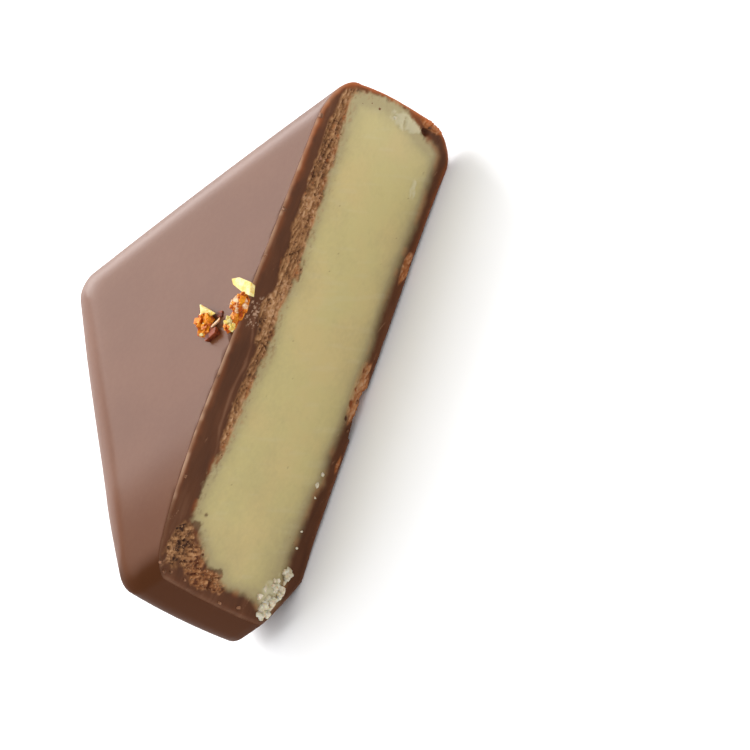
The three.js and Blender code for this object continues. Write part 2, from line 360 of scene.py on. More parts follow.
@dataclass(frozen=True)
class RoundedBody:
    """A closed body over the square's outline, made of rings from the top to the base."""

    square: Square
    side: float
    left_side: float
    rim: Edge
    left_rim: Edge
    foot: Edge
    left_foot: Edge
    right_side: float = 0.0
    left_power: float = 0.0
    wall_from: float = 0.97  # of the half side, where the form of a wall is complete
    left_from: float = 0.742  # where the left wall's form begins, without a power
    right_from: float = 0.8
    ring_reach: float = 0.985  # how far the rings of the top reach to its middle
    ring_crowding: float = 0.8
    top_rings: int = 14
    edge_rings: int = 14
    wall_rings: int = 12

    def top(self, plan: np.ndarray) -> np.ndarray:
        """Return the height of the body's top over points of the plan."""
        return self.square.top_height(plan[:, 0])

    def base(self, plan: np.ndarray) -> np.ndarray:
        """Return the height of its underside."""
        return self.square.foot_height(plan[:, 1], plan[:, 2])

    def rings(self) -> np.ndarray:
        """Return all rings, from the middle of the top to the middle of the base.

        Returns:
            An array of (ring, point, xyz).
        """
        square = self.square
        outline = square.outline()
        left = np.clip(-outline[:, 0] / square.half / self.wall_from, 0.0, 1.0)
        if self.left_power:
            leftness = left**self.left_power
        else:
            leftness = smooth_rise(left, self.left_from, 1.0)
        rim_in, rim_drop, rim_power = self.rim.towards(self.left_rim, leftness)
        foot_in, foot_drop, foot_power = self.foot.towards(self.left_foot, leftness)
        side = self.side + (self.left_side - self.side) * leftness
        right = outline[:, 0] / square.half
        rightness = smooth_rise(right, self.right_from, self.wall_from)
        side += (self.right_side - self.side) * rightness
        wall = square.plan(outline, side)
        rim_foot = self.top(wall) - rim_drop
        foot_top = self.base(wall) + foot_drop
        half_turn = math.pi / 2

        def ring(plan: np.ndarray, z: np.ndarray) -> np.ndarray:
            """Join points of the plan and their heights."""
            return np.column_stack([plan[:, 1], plan[:, 2], z])

        result = []
        for k in range(self.top_rings):
            share = ((k + 1) / (self.top_rings + 1)) ** self.ring_crowding
            inward = square.half * (1 - self.ring_reach * share)
            plan = square.plan(outline, np.maximum(inward, side + rim_in))
            result.append(ring(plan, self.top(plan)))
        for k in range(self.edge_rings + 1):
            angle = half_turn * k / self.edge_rings
            inset = side + rim_in * (1 - np.sin(angle) ** (2 / rim_power))
            drop = rim_drop * (1 - np.cos(angle) ** (2 / rim_power))
            lean = square.wall_lean(outline, rim_foot) * k / self.edge_rings
            height = self.top(square.plan(outline, inset)) - drop
            result.append(ring(square.plan(outline, inset + lean), height))
        for k in range(1, self.wall_rings):
            z = rim_foot + (foot_top - rim_foot) * k / self.wall_rings
            result.append(ring(square.plan(outline, side + square.wall_lean(outline, z)), z))
        for k in range(self.edge_rings + 1):
            angle = half_turn * k / self.edge_rings
            inset = side + foot_in * (1 - np.cos(angle) ** (2 / foot_power))
            rise = foot_drop * (1 - np.sin(angle) ** (2 / foot_power))
            plan = square.plan(outline, inset + square.wall_lean(outline, foot_top))
            result.append(ring(plan, self.base(plan) + rise))
        for k in range(1, self.top_rings):
            inward = square.half * k / self.top_rings
            plan = square.plan(outline, np.maximum(inward, side + foot_in))
            result.append(ring(plan, self.base(plan)))
        return np.array(result)

    def mesh(self, name: str, source: Source) -> bpy.types.Mesh:
        """Build the closed body.

        Args:
            name: Of the mesh.
            source: Written on every face, so that it's known after a cut.

        Returns:
            The mesh, in millimetres.
        """
        rings = self.rings()
        count, around, _ = rings.shape
        ends = [ring.mean(axis=0) for ring in (rings[0], rings[-1])]
        points = np.vstack([rings.reshape(-1, 3), ends])
        top_middle = count * around
        faces = []
        for k in range(around):
            following = (k + 1) % around
            faces.append((top_middle, k, following))
            for r in range(count - 1):
                a, b = r * around + k, r * around + following
                faces.append((a, a + around, b + around, b))
            last = (count - 1) * around
            faces.append((top_middle + 1, last + following, last + k))
        return mesh_from(name, points, faces, source)

    def section(self) -> np.ndarray:
        """Return the closed outline of the body where the plane of the cut passes through it.

        Returns:
            Rows of (x, z) from the top's middle to the right, round and back.
        """
        right, left = [], []
        for ring in self.rings():
            following = np.roll(ring, -1, axis=0)
            crossing = np.nonzero((ring[:, 1] > 0) != (following[:, 1] > 0))[0]
            if len(crossing) < 2:
                continue
            share = ring[crossing, 1] / (ring[crossing, 1] - following[crossing, 1])
            at = ring[crossing] + (following[crossing] - ring[crossing]) * share[:, None]
            right.append(at[np.argmax(at[:, 0])][[0, 2]])
            left.append(at[np.argmin(at[:, 0])][[0, 2]])
        return np.array(right + left[::-1])


@dataclass(frozen=True)
class CoreBody(RoundedBody):
    """The marzipan, and so also the room for it in the coat."""

    base_coat: float = 1.2
    top_at_ends: float = 11.15
    hollow_depth: float = 0.8
    hollow_middle: float = 1.2
    hollow_reach: float = 8.5
    step_height: float = 0.35
    step_place: float = -9.8
    step_reach: float = 0.6
    sag_share: float = 0.35

    def top(self, plan: np.ndarray) -> np.ndarray:
        """Work out its top, which is lowest where the coat is broken and thick.

        Args:
            plan: Rows of (u towards the right wall, x, y).

        Returns:
            The heights.
        """
        x = plan[:, 1]
        hollow = self.hollow_depth * hill((x - self.hollow_middle) / self.hollow_reach)
        step = self.step_height * np.clip((self.step_place - x) / self.step_reach, 0.0, 1.0)
        sag = self.sag_share * (self.square.thickness - self.square.top_height(plan[:, 0]))
        return self.top_at_ends - hollow + step - sag

    def base(self, plan: np.ndarray) -> np.ndarray:
        """Return its underside, which is as thick above the base everywhere."""
        return self.square.base_height(plan[:, 1]) + self.base_coat


def mesh_from(
    name: str, points: np.ndarray, faces: list | np.ndarray, source: Source | None = None
) -> bpy.types.Mesh:
    """Make a mesh from points and faces.

    Args:
        name: Of the mesh.
        points: Rows of xyz.
        faces: Rows of point numbers.
        source: Written on every face, where it's given.

    Returns:
        The mesh.
    """
    mesh = bpy.data.meshes.new(name)
    face_list = faces.tolist() if isinstance(faces, np.ndarray) else faces
    mesh.from_pydata(np.asarray(points).tolist(), [], face_list)
    mesh.update()
    if source is not None:
        marks = mesh.attributes.new("source", "INT", "FACE")
        marks.data.foreach_set("value", [source.value] * len(mesh.polygons))
    return mesh


def outline_distance(x: np.ndarray, z: np.ndarray, outline: np.ndarray) -> np.ndarray:
    """Measure how far points of the cut's plane lie inside a closed outline.

    Args:
        x: Points along the cut.
        z: Their heights.
        outline: Rows of (x, z).

    Returns:
        The distances, negative outside.
    """
    flat_x, flat_z = x.ravel(), z.ravel()
    nearest = np.full(flat_x.shape, 1e9)
    inside = np.zeros(flat_x.shape, bool)
    for (ax, az), (bx, bz) in zip(outline, np.roll(outline, -1, axis=0)):
        ex, ez = bx - ax, bz - az
        length = ex * ex + ez * ez
        if length < 1e-12:
            continue
        t = np.clip(((flat_x - ax) * ex + (flat_z - az) * ez) / length, 0.0, 1.0)
        gap = np.hypot(flat_x - ax - t * ex, flat_z - az - t * ez)
        nearest = np.minimum(nearest, gap)
        if az != bz:
            spans = (az > flat_z) != (bz > flat_z)
            inside ^= spans & (flat_x < ax + (flat_z - az) * ex / ez)
    return np.where(inside, nearest, -nearest).reshape(x.shape)


# ---- The cut ----


@dataclass(frozen=True)
class Patch:
    """An oval place on the cut that looks unlike its surroundings."""

    x: float
    z: float
    half_width: float
    half_height: float
    turn: float = 0.0

    def inside(self, x: np.ndarray, z: np.ndarray, ragged: np.ndarray) -> np.ndarray:
        """Tell which points lie in the patch.

        Args:
            x: Along the cut.
            z: Heights.
            ragged: Noise that makes the border uneven.

        Returns:
            1 well inside and 0 outside.
        """
        c, s = math.cos(math.radians(self.turn)), math.sin(math.radians(self.turn))
        across = ((x - self.x) * c + (z - self.z) * s) / self.half_width
        up = ((z - self.z) * c - (x - self.x) * s) / self.half_height
        return smooth_rise(1.0 - np.hypot(across, up) + 0.25 * ragged, 0.0, 0.3)


def inside_any(
    patches: tuple[Patch, ...], x: np.ndarray, z: np.ndarray, ragged: np.ndarray
) -> np.ndarray:
    """Return 1 well inside any of the patches and 0 outside them all."""
    return np.max([patch.inside(x, z, ragged) for patch in patches], axis=0)


@dataclass
class CutSurface:
    """What the cut looks like at each of some points."""

    depth: np.ndarray  # behind the plane of the cut
    paste: np.ndarray  # 1 on the marzipan, 0 on the chocolate, between where the knife mixed them
    broken: np.ndarray  # 1 where the chocolate is crumbly, 0 where the knife left it smooth
    tone: np.ndarray  # from painted shade in crevices, cracks and pits at 0 to light raised flakes at 1, over the chocolate's own tone
    orange_and_glow: np.ndarray  # a painted orange glow near the coat's outer edge, as of light through thin chocolate, and orange-tan bits of broken chocolate
    pale: np.ndarray  # how much of the bloom of torn and scuffed chocolate, and of a painted highlight along the cut's outer edge
    shade_and_grey: np.ndarray  # how much of the greyer marzipan: painted shade along the coat, at the right end and towards the lower left, with some random clouding
    white: np.ndarray  # torn and whitish places of the marzipan
    speck: np.ndarray  # dark specks of almond skin

    def write(self, mesh: bpy.types.Mesh) -> None:
        """Write everything but the depth on a mesh's points."""
        for name in ("paste", "broken", "tone", "orange_and_glow", "pale", "shade_and_grey", "white", "speck"):
            write_attribute(mesh, name, np.clip(getattr(self, name), 0.0, 1.0))


@dataclass(frozen=True)
class CutRelief:
    """The cut: chocolate smooth under the top and flaky below it, soft marzipan within."""

    outer: np.ndarray  # rows of (x, z) round the coat
    # the line round the marzipan where it meets the chocolate
    meeting: tuple[tuple[float, float], ...] = (
        (-14.0, 11.2), (-12.0, 11.25), (-10.0, 11.0), (-9.0, 10.65), (-7.0, 10.5),
        (-5.0, 10.5), (-3.0, 10.4), (-1.0, 10.15), (0.0, 10.2), (1.0, 10.5), (2.0, 10.6),
        (3.0, 10.35), (5.0, 10.3), (7.0, 10.5), (9.0, 10.5), (11.0, 10.6), (13.0, 10.8),
        (15.0, 11.0), (17.0, 11.25), (18.4, 11.5), (19.0, 11.3), (19.4, 10.6), (19.6, 9.6),
        (19.85, 8.7), (19.95, 7.6), (19.95, 6.6), (19.75, 5.8), (19.3, 4.6), (18.9, 4.0),
        (18.75, 3.4), (18.65, 2.8), (18.4, 2.2), (18.0, 1.85), (16.0, 1.75), (14.0, 1.6),
        (12.0, 1.5), (10.0, 1.6), (6.0, 1.55), (4.0, 1.4), (3.0, 1.2), (-3.0, 1.1),
        (-6.0, 1.25), (-8.0, 0.95), (-9.0, 1.3), (-12.0, 1.3), (-14.0, 1.35), (-15.3, 1.05),
        (-16.4, 0.85), (-17.5, 0.95), (-18.3, 1.3), (-18.5, 2.2), (-18.1, 3.1), (-18.0, 4.0),
        (-18.2, 5.5), (-18.1, 6.4), (-17.6, 7.0),
        (-17.35, 8.0), (-16.7, 8.8), (-16.1, 9.4), (-15.5, 10.0), (-15.1, 10.6), (-14.7, 11.05),
    )
    # the line from which the chocolate of the top is broken, downwards
    broken_from: tuple[tuple[float, float], ...] = (
        (-9.6, 10.9), (-7.9, 11.5), (-5.3, 11.5), (-3.1, 11.35), (-1.5, 11.5), (0.3, 12.0),
        (1.6, 12.45), (3.1, 11.8), (3.9, 11.8), (5.0, 12.2), (6.4, 12.0), (7.5, 12.4),
        (10.2, 12.4), (13.8, 12.65), (18.4, 12.6), (19.3, 12.0),
    )
    crumbled: tuple[Patch, ...] = (
        Patch(-16.7, 11.2, 2.2, 1.15, -12.0),
        Patch(-17.3, 9.7, 1.5, 1.7, 10.0),
        Patch(-18.3, 7.6, 0.85, 2.2, 6.0),
    )
    flaked: tuple[Patch, ...] = (
        Patch(-0.6, 0.75, 2.9, 0.85),
        Patch(9.6, 0.85, 1.5, 0.45),
        Patch(-6.3, 0.15, 0.9, 0.2),
        Patch(19.85, 3.3, 0.5, 1.6),
    )
    scuffed: Patch = Patch(0.9, 12.5, 1.4, 1.5, -20.0)
    chips: tuple[Patch, ...] = (
        Patch(-1.9, -0.1, 2.4, 0.5),
        Patch(3.4, -0.2, 0.9, 0.35),
        Patch(-6.6, -0.65, 1.4, 0.4),
    )
    cavity: Patch = Patch(19.15, 3.75, 0.3, 0.4)
    # small pits along the base, darkened as painted shade
    base_pits: tuple[Patch, ...] = (
        Patch(1.0, 1.05, 0.3, 0.13, 25.0),
        Patch(-0.5, 1.15, 0.3, 0.15, 20.0),
        Patch(-1.7, 1.05, 0.42, 0.16, 15.0),
        Patch(-2.8, 1.05, 0.3, 0.14, 30.0),
    )
    torn: tuple[Patch, ...] = (
        Patch(19.0, 5.9, 0.65, 1.8),
        Patch(14.8, 2.9, 0.75, 0.35, 10.0),
        Patch(-17.2, 1.8, 1.6, 0.9, -10.0),
    )
    smears: tuple[Patch, ...] = (
        Patch(-9.6, 10.75, 0.75, 0.3, -8.0),
        Patch(-15.6, 10.6, 1.6, 0.45, -20.0),
        Patch(-17.6, 7.2, 0.45, 0.8, 10.0),
        Patch(5.1, 10.1, 0.7, 0.3, 0.0),
    )
    chip_depth: float = 1.0
    cavity_depth: float = 0.35
    # how far in from the outer edge the painted orange glow reaches
    edge_glow_width: float = 0.4
    edge_round: float = 0.16

    def surface(self, x: np.ndarray, z: np.ndarray) -> CutSurface:
        """Work out the relief and the looks of the cut at some points.

        Args:
            x: Along the cut.
            z: Heights.

        Returns:
            The surface at those points.
        """
        within = outline_distance(x, z, np.array(self.meeting))
        found = self._chocolate(x, z, within)
        ragged = fractal(x / 0.5, z / 0.4, 36, 3)
        fine = fractal(x / 0.24, z / 0.16, 23, 3)
        at_base = 1.0 - smooth_rise(z, 2.0, 3.6)
        at_left = smooth_rise(-x, 16.5, 17.5) * (1.0 - smooth_rise(z, 6.0, 7.0))
        by_patch = smooth_rise(-x, 13.8, 15.2) * smooth_rise(z, 7.0, 8.5)
        soft = 0.21 + 0.38 * np.max([at_base, 0.5 * at_left, 0.5 * by_patch], axis=0)
        rough = 0.22 - 0.14 * np.maximum(at_base, at_left)
        reach = within + rough * (0.7 * ragged + 0.45 * fine)
        paste = smooth_rise(reach, -soft, 1.15 * soft)
        smear = inside_any(self.smears, x, z, 1.6 * ragged)
        hole = self.cavity.inside(x, z, ragged)
        shaved = inside_any(self.torn, x, z, ragged)
        found.paste = paste * (1 - 0.75 * smear) * (1 - hole)
        tan = hill((within - 0.3) / 0.35) * smooth_rise(fine + 0.6 * ragged, 0.2, 0.8)
        found.paste -= 0.45 * tan * smooth_rise(z, 8.5, 9.5) * found.paste
        pits = inside_any(self.base_pits, x, z, 1.5 * ragged)
        found.paste *= 1 - pits
        found.broken = np.maximum(found.broken, pits)
        # Painted shade: darker in the cavity and in the small pits along the base.
        found.tone -= 0.15 * hole + 0.8 * pits

        lumps = billow((x + 0.2 * ragged) / 0.8, z / 0.8, 28, 3)
        torn = shaved * found.paste
        cloud = fractal(x / 2.6, z / 2.2, 24, 3)
        # Painted shade: the marzipan greys along its border with the coat, at the right end and
        # towards the lower left, over some random clouding.
        found.shade_and_grey = 0.9 * hill(within / 0.8) * (within > -0.6) + 0.2 * cloud + 0.1 * fine
        found.shade_and_grey += 0.2 * hill(within / 2.6)
        found.shade_and_grey += 0.55 * hill((within - 0.6) / 0.9) * smooth_rise(x, 16.8, 18.6)
        found.shade_and_grey += 0.35 * smooth_rise(-x, 8.0, 15.0) * smooth_rise(-z, -5.5, -1.0)
        found.shade_and_grey += 0.12 * smooth_rise(-x, 6.0, 10.0)
        strokes = smooth_rise(fractal((x + 0.35 * z) / 0.4, z / 2.2, 29, 2), 0.3, 0.9)
        found.white = 0.6 * torn * smooth_rise(lumps, 0.1, 0.6) + 0.1 * strokes
        found.white += 0.12 * smooth_rise(x, 13.0, 18.5)
        spots = cells(x / 1.9, z / 1.9, 25)
        found.speck = smooth_rise(0.045 - np.hypot(spots.across, 1.6 * spots.up), 0.0, 0.03)
        found.speck *= 0.75 * (spots.chance > 0.6)
        dots = cells(x / 0.5, z / 0.36, 26)
        dotted = smooth_rise(0.16 - np.hypot(dots.across, dots.up), 0.0, 0.08)
        dotted *= hill((within - 0.25) / 0.4) * smooth_rise(-x, 8.0, 12.0) * at_base
        found.speck += 0.9 * dotted * (dots.chance > 0.2)

        level = 0.03 * noise(x / 3.4, z / 3.4, 9) + 0.015 * noise(x / 1.3, z / 1.3, 19)
        level += 0.012 * fine - 0.012 * strokes + 0.05 * found.speck
        level += hill(within / 0.3) * 0.04 * ragged + torn * (0.06 - 0.17 * lumps)
        share = smooth_rise(paste, 0.0, 1.0)
        found.depth = found.depth * (1 - share) + level * share
        found.depth += self.cavity_depth * hole - 0.06 * smear * lumps
        return found

    def _chocolate(self, x: np.ndarray, z: np.ndarray, within: np.ndarray) -> CutSurface:
        """Work out the chocolate alone, also under the marzipan.

        Args:
            x: Along the cut.
            z: Heights.
            within: How far the points lie inside the marzipan.

        Returns:
            The surface of the chocolate at those points.
        """
        inside = outline_distance(x, z, self.outer)
        ragged = fractal(x / 0.9, z / 0.45, 31, 3)
        limit = np.interp(x, *zip(*self.broken_from))
        band = smooth_rise(limit - z + 0.2 * ragged, -0.05, 0.2)
        band *= smooth_rise(x + 0.8 * ragged, -10.4, -8.8) * (z > 6.0)
        band *= smooth_rise(inside + 0.1 * ragged, 0.25, 0.6)
        crumbs = inside_any(self.crumbled, x, z, 1.2 * ragged)
        flakes = inside_any(self.flaked, x, z, ragged)
        scuff = self.scuffed.inside(x, z, ragged) * (1 - band)
        loose = np.maximum(crumbs, 0.6 * band * smooth_rise(within, -0.5, -0.1))
        broken = np.maximum(np.maximum(band, crumbs), flakes)

        bend = 0.22 * noise(x / 2.4, z / 1.2, 51) + 0.06 * noise(x / 0.7, z / 0.35, 52)
        warp = 0.10 * noise(x / 0.35, z / 0.25, 53)
        z_bent = z + bend
        layered = 0.6 * billow((x + warp) / 1.7, z_bent / 0.19, 61, 3)
        layered += 0.35 * billow((x - warp) / 2.6, z_bent / 0.5, 64, 2)
        layered += 0.25 * billow(x / 0.34, (z_bent + 0.3 * warp) / 0.13, 62, 2)
        lumpy = 0.6 * billow((x + warp) / 0.42, (z + warp) / 0.32, 66, 3)
        lumpy += 0.45 * billow(x / 0.95, z / 0.7, 63, 2) + 0.2 * billow(x / 0.2, z / 0.17, 67, 2)
        along, across = 0.93 * (z + warp) - 0.37 * x, 0.93 * x + 0.37 * (z + bend)
        strands = 0.55 * billow(along / 1.1, across / 0.22, 65, 3) + 0.4 * lumpy
        height = layered * (1 - loose) + lumpy * loose
        height = height * (1 - crumbs) + strands * crumbs
        ridged = 1 - np.abs(noise(x / 1.7, z_bent / 0.5, 55))
        crack = smooth_rise(ridged, 0.9, 0.98) * smooth_rise(noise(x / 1.3, z / 0.7, 56), 0.2, 0.55)
        pits = smooth_rise(noise(x / 0.4, z_bent / 0.22, 54), 0.7, 0.9)
        pits *= smooth_rise(noise(x / 2.1, z / 0.9, 50), 0.0, 0.4)
        grit = fractal(x / 0.2, z / 0.14, 68, 2)
        cloud = fractal(x / 1.6, z_bent / 0.7, 69, 2)

        # Painted shade: the tone darkens in cracks and pits and with lower relief, and lightens on
        # raised flakes, over the broken chocolate's own streaks and grit.
        tone = 0.02 + 0.72 * height + 0.14 * cloud + 0.26 * grit - 0.35 * crack - 0.35 * pits
        tone += crumbs * (0.6 * (height - 0.5) - 0.13)
        stripe = flakes * hill((z_bent - 0.68) / 0.16) * (z < 3.0) * (x < 5.0)
        tone += 0.45 * stripe
        swirl = hill((z_bent - limit - 0.3) / 0.15) * smooth_rise(-x, -1.8, -0.6)
        swirl *= smooth_rise(x, -9.6, -7.5)
        streaks = fractal(x / 3.5, z_bent / 0.7, 57, 2) + 0.35 * fractal(x / 1.5, z_bent / 0.2, 60, 2)
        scratch = smooth_rise(noise(x / 0.7, (z + 0.3 * x) / 0.08, 58), 0.6, 0.9)
        scratch *= smooth_rise(noise(x / 1.5, z / 0.9, 59), 0.25, 0.6)
        cut_tone = 0.42 + 0.15 * streaks + 0.34 * swirl + 0.4 * scratch
        tone = broken * tone + (1 - broken) * cut_tone

        # Painted light: an orange glow along the coat's outer edge, as of light through thin
        # chocolate, strongest to the right and weaker at the base and the left. Real orange-tan bits
        # are added in the crumbled, flaked and banded places.
        ragged_rim = 0.8 + 0.3 * noise(x / 1.3, z / 1.3, 16) + 0.2 * noise(x / 0.4, z / 0.4, 18)
        rim = hill(inside / (self.edge_glow_width * ragged_rim))
        rightness = smooth_rise(x, 6.0, 19.0)
        low = 1.0 - smooth_rise(z, 1.5, 3.0)
        orange_and_glow = rim * (0.3 + 0.7 * rightness) * (1 - 0.5 * low)
        orange_and_glow *= 1 - 0.85 * smooth_rise(-x, 12.0, 16.0)
        orange_and_glow += 0.16 * crumbs * smooth_rise(-z, -11.2, -8.8) + 0.35 * flakes * (1 - crumbs)
        orange_and_glow += 0.35 * hill(within / 0.3) * smooth_rise(noise(x / 0.8, z / 0.8, 70), 0.0, 0.6)
        orange = smooth_rise(noise(x / 0.5, z_bent / 0.3, 71), 0.55, 0.85)
        orange_and_glow += 0.4 * band * orange * smooth_rise(noise(x / 2.4, z / 2.0, 72), 0.0, 0.4)
        edge_bits = smooth_rise(noise(x / 0.6, z / 0.6, 15), -0.2, 0.8)
        flecks = smooth_rise(grit + 0.5 * height, 0.5, 1.0) * smooth_rise(cloud, -0.3, 0.5)
        dust = noise(x / 0.13, z / 0.1, 73) + 0.4 * noise(x / 0.4, z / 0.3, 74)
        dust = smooth_rise(dust, 0.35, 0.75)
        # Bloom of scuffed and torn chocolate and pale flecks, and a painted highlight: a pale line
        # along the cut's outer edge, strongest at the top left.
        pale = 0.7 * scuff * dust + 0.3 * broken * flecks * (1 - 0.6 * loose)
        pale += 0.35 * stripe * smooth_rise(grit, -0.3, 0.5)
        top_edge = smooth_rise(z, 11.5, 13.0) * smooth_rise(x, -16.0, -12.5)
        pale += hill(inside / 0.16) * (0.55 + 0.45 * edge_bits) * (0.12 + 0.88 * top_edge)

        wave = 0.03 * noise(x / 3.4, z / 3.4, 9)
        drag = 0.008 * noise(x / 1.6, z / 0.12, 13) - 0.03 * scratch - 0.03 * scuff * dust
        burr = 0.05 * hill((inside - 0.16) / 0.1) * edge_bits
        rounding = 0.13 * hill(inside / self.edge_round)
        chip = inside_any(self.chips, x, z, ragged)
        depth = wave + (1 - broken) * drag + rounding - burr + self.chip_depth * chip
        depth += broken * (0.2 - 0.28 * height - 0.03 * grit + 0.16 * crack + 0.12 * pits)
        none = np.zeros(x.shape)
        return CutSurface(depth, none, broken, tone, orange_and_glow, pale, none, none, none)

    def depth(self, x: np.ndarray, z: np.ndarray) -> np.ndarray:
        """Return how far behind the plane of the cut the surface lies."""
        return self.surface(x, z).depth


@dataclass(frozen=True)
class Knife:
    """What a cut takes away: a block in front of the piece with the relief on its back."""

    step: float
    x_reach: tuple[float, float] = (-20.9, 21.2)
    z_reach: tuple[float, float] = (-1.6, 16.6)
    front: float = -26.0

    def mesh(self, name: str, relief: CutRelief) -> bpy.types.Mesh:
        """Build the block for one relief.

        Args:
            name: Of the mesh.
            relief: Gives the depth at each point of the cut.

        Returns:
            A closed mesh in millimetres.
        """
        columns = round((self.x_reach[1] - self.x_reach[0]) / self.step)
        rows = round((self.z_reach[1] - self.z_reach[0]) / self.step)
        x, z = np.meshgrid(
            np.linspace(*self.x_reach, columns + 1), np.linspace(*self.z_reach, rows + 1)
        )
        back = np.stack([x, relief.depth(x, z), z], axis=-1).reshape(-1, 3)
        numbers = np.arange(len(back)).reshape(rows + 1, columns + 1)
        a, b = numbers[:-1, :-1].ravel(), numbers[:-1, 1:].ravel()
        c, d = numbers[1:, 1:].ravel(), numbers[1:, :-1].ravel()
        faces = np.column_stack([b, a, d, c]).tolist()
        loop = np.concatenate(
            [numbers[0, :-1], numbers[:-1, -1], numbers[-1, :0:-1], numbers[:0:-1, 0]]
        )
        front = back[loop].copy()
        front[:, 1] = self.front
        first = len(back)
        count = len(loop)
        for k in range(count):
            n = (k + 1) % count
            faces.append((int(loop[k]), int(loop[n]), first + n, first + k))
        faces.append(tuple(range(first, first + count)))
        return mesh_from(name, np.vstack([back, front]), faces, Source.KNIFE)


def as_object(mesh: bpy.types.Mesh, name: str | None = None) -> bpy.types.Object:
    """Link a mesh to the scene as an object at the origin.

    Args:
        mesh: The mesh.
        name: Of the object, where it isn't the mesh's.

    Returns:
        The object.
    """
    made = bpy.data.objects.new(name or mesh.name, mesh)
    bpy.context.scene.collection.objects.link(made)
    return made


def plain_mesh(made: bpy.types.Object, name: str) -> bpy.types.Mesh:
    """Turn an object and its modifiers into a mesh.

    Args:
        made: The object.
        name: Of the new mesh.

    Returns:
        The mesh with the modifiers applied.
    """
    graph = bpy.context.evaluated_depsgraph_get()
    mesh = bpy.data.meshes.new_from_object(made.evaluated_get(graph))
    mesh.name = name
    return mesh


def subtract(body: bpy.types.Mesh, *tools: bpy.types.Mesh) -> bpy.types.Mesh:
    """Take tools away from a body.

    Args:
        body: A closed mesh.
        *tools: Closed meshes.

    Returns:
        The rest of the body as a new mesh. The operands are removed.
    """
    target = as_object(body)
    others = [as_object(tool) for tool in tools]
    for other in others:
        modifier = target.modifiers.new(other.name, "BOOLEAN")
        modifier.operation = "DIFFERENCE"
        modifier.solver = "MANIFOLD"
        modifier.object = other
    result = plain_mesh(target, body.name)
    result.materials.clear()
    for gone in [target, *others]:
        mesh = gone.data
        bpy.data.objects.remove(gone)
        bpy.data.meshes.remove(mesh)
    return result


def coordinates(mesh: bpy.types.Mesh) -> np.ndarray:
    """Read where the points of a mesh are.

    Args:
        mesh: The mesh.

    Returns:
        Rows of xyz.
    """
    flat = np.empty(len(mesh.vertices) * 3, np.float32)
    mesh.vertices.foreach_get("co", flat)
    return flat.reshape(-1, 3).astype(float)


def facing(mesh: bpy.types.Mesh) -> np.ndarray:
    """Read the direction that the surface faces at every point.

    Args:
        mesh: The mesh.

    Returns:
        Rows of xyz.
    """
    flat = np.empty(len(mesh.vertices) * 3, np.float32)
    mesh.vertex_normals.foreach_get("vector", flat)
    return flat.reshape(-1, 3).astype(float)


def face_sources(mesh: bpy.types.Mesh) -> np.ndarray:
    """Read which source every face comes from.

    Args:
        mesh: With a source on every face.

    Returns:
        The numbers of the sources.
    """
    numbers = np.empty(len(mesh.polygons), np.int32)
    mesh.attributes["source"].data.foreach_get("value", numbers)
    return numbers


def write_attribute(mesh: bpy.types.Mesh, name: str, values: np.ndarray) -> None:
    """Write one number at every point of a mesh."""
    attribute = mesh.attributes.new(name, "FLOAT", "POINT")
    attribute.data.foreach_set("value", np.asarray(values, np.float32))


def finish_cut_body(mesh: bpy.types.Mesh) -> None:
    """Shade a cut body smooth within each source, and give the cut its own material slot.

    Args:
        mesh: With a source on every face. Slot 0 is the outside and 1 is the cut.
    """
    sources = face_sources(mesh)
    slots = np.where(sources == Source.KNIFE.value, 1, 0).astype(np.int32)
    mesh.polygons.foreach_set("material_index", slots)
    mesh.polygons.foreach_set("use_smooth", np.ones(len(mesh.polygons), bool))
    sharp = np.zeros(len(mesh.edges), bool)
    edges = np.empty(len(mesh.loops), np.int32)
    mesh.loops.foreach_get("edge_index", edges)
    totals = np.empty(len(mesh.polygons), np.int32)
    mesh.polygons.foreach_get("loop_total", totals)
    loop_source = np.repeat(sources, totals)
    order = np.argsort(edges, kind="stable")
    sorted_edges, sorted_sources = edges[order], loop_source[order]
    same = sorted_edges[1:] == sorted_edges[:-1]
    differs = sorted_sources[1:] != sorted_sources[:-1]
    sharp[sorted_edges[1:][same & differs]] = True
    marks = mesh.attributes.get("sharp_edge") or mesh.attributes.new(
        "sharp_edge", "BOOLEAN", "EDGE"
    )
    marks.data.foreach_set("value", sharp)
    mesh.update()


# ---- Placement ----


@dataclass(frozen=True)
class Placement:
    """Turns the frame of the cut, in millimetres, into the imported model's, in metres."""

    slope: float
    shift: tuple[float, float, float]

    @classmethod
    def over(cls, outer: RoundedBody, node: str) -> "Placement":
        """Find the shift that lays the whole body over a node's box.

        Args:
            outer: The coat's outer form.
            node: The CAD node that it stands for.

        Returns:
            The placement.
        """
        slope = outer.square.base_slope
        points = outer.rings().reshape(-1, 3)
        points = points[points[:, 1] >= 0.0]
        x, y, z = cls._tipped(points, slope).T
        low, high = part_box(node)
        shift = (
            (low.x + high.x) / 2 / METRES - (x.min() + x.max()) / 2,
            high.y / METRES - y.max(),
            low.z / METRES - z.min(),
        )
        return cls(slope, tuple(float(s) for s in shift))

    @staticmethod
    def _tipped(points: np.ndarray, slope: float) -> np.ndarray:
        """Tip points on to the base.

        Args:
            points: Rows of xyz.
            slope: Of the base, in radians.

        Returns:
            The points with the base level.
        """
        c, s = math.cos(slope), math.sin(slope)
        x, y, z = points.T
        return np.column_stack([x * c + z * s, y, z * c - x * s])

    def apply(self, points: np.ndarray) -> np.ndarray:
        """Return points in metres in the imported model's frame."""
        return (self._tipped(points, self.slope) + np.array(self.shift)) * METRES

    def move(self, mesh: bpy.types.Mesh) -> None:
        """Put a mesh's points in their place.

        Args:
            mesh: In millimetres, and in metres afterwards.
        """
        placed = self.apply(coordinates(mesh)).astype(np.float32)
        mesh.vertices.foreach_set("co", placed.ravel())
        mesh.update()


# ---- Node writing ----


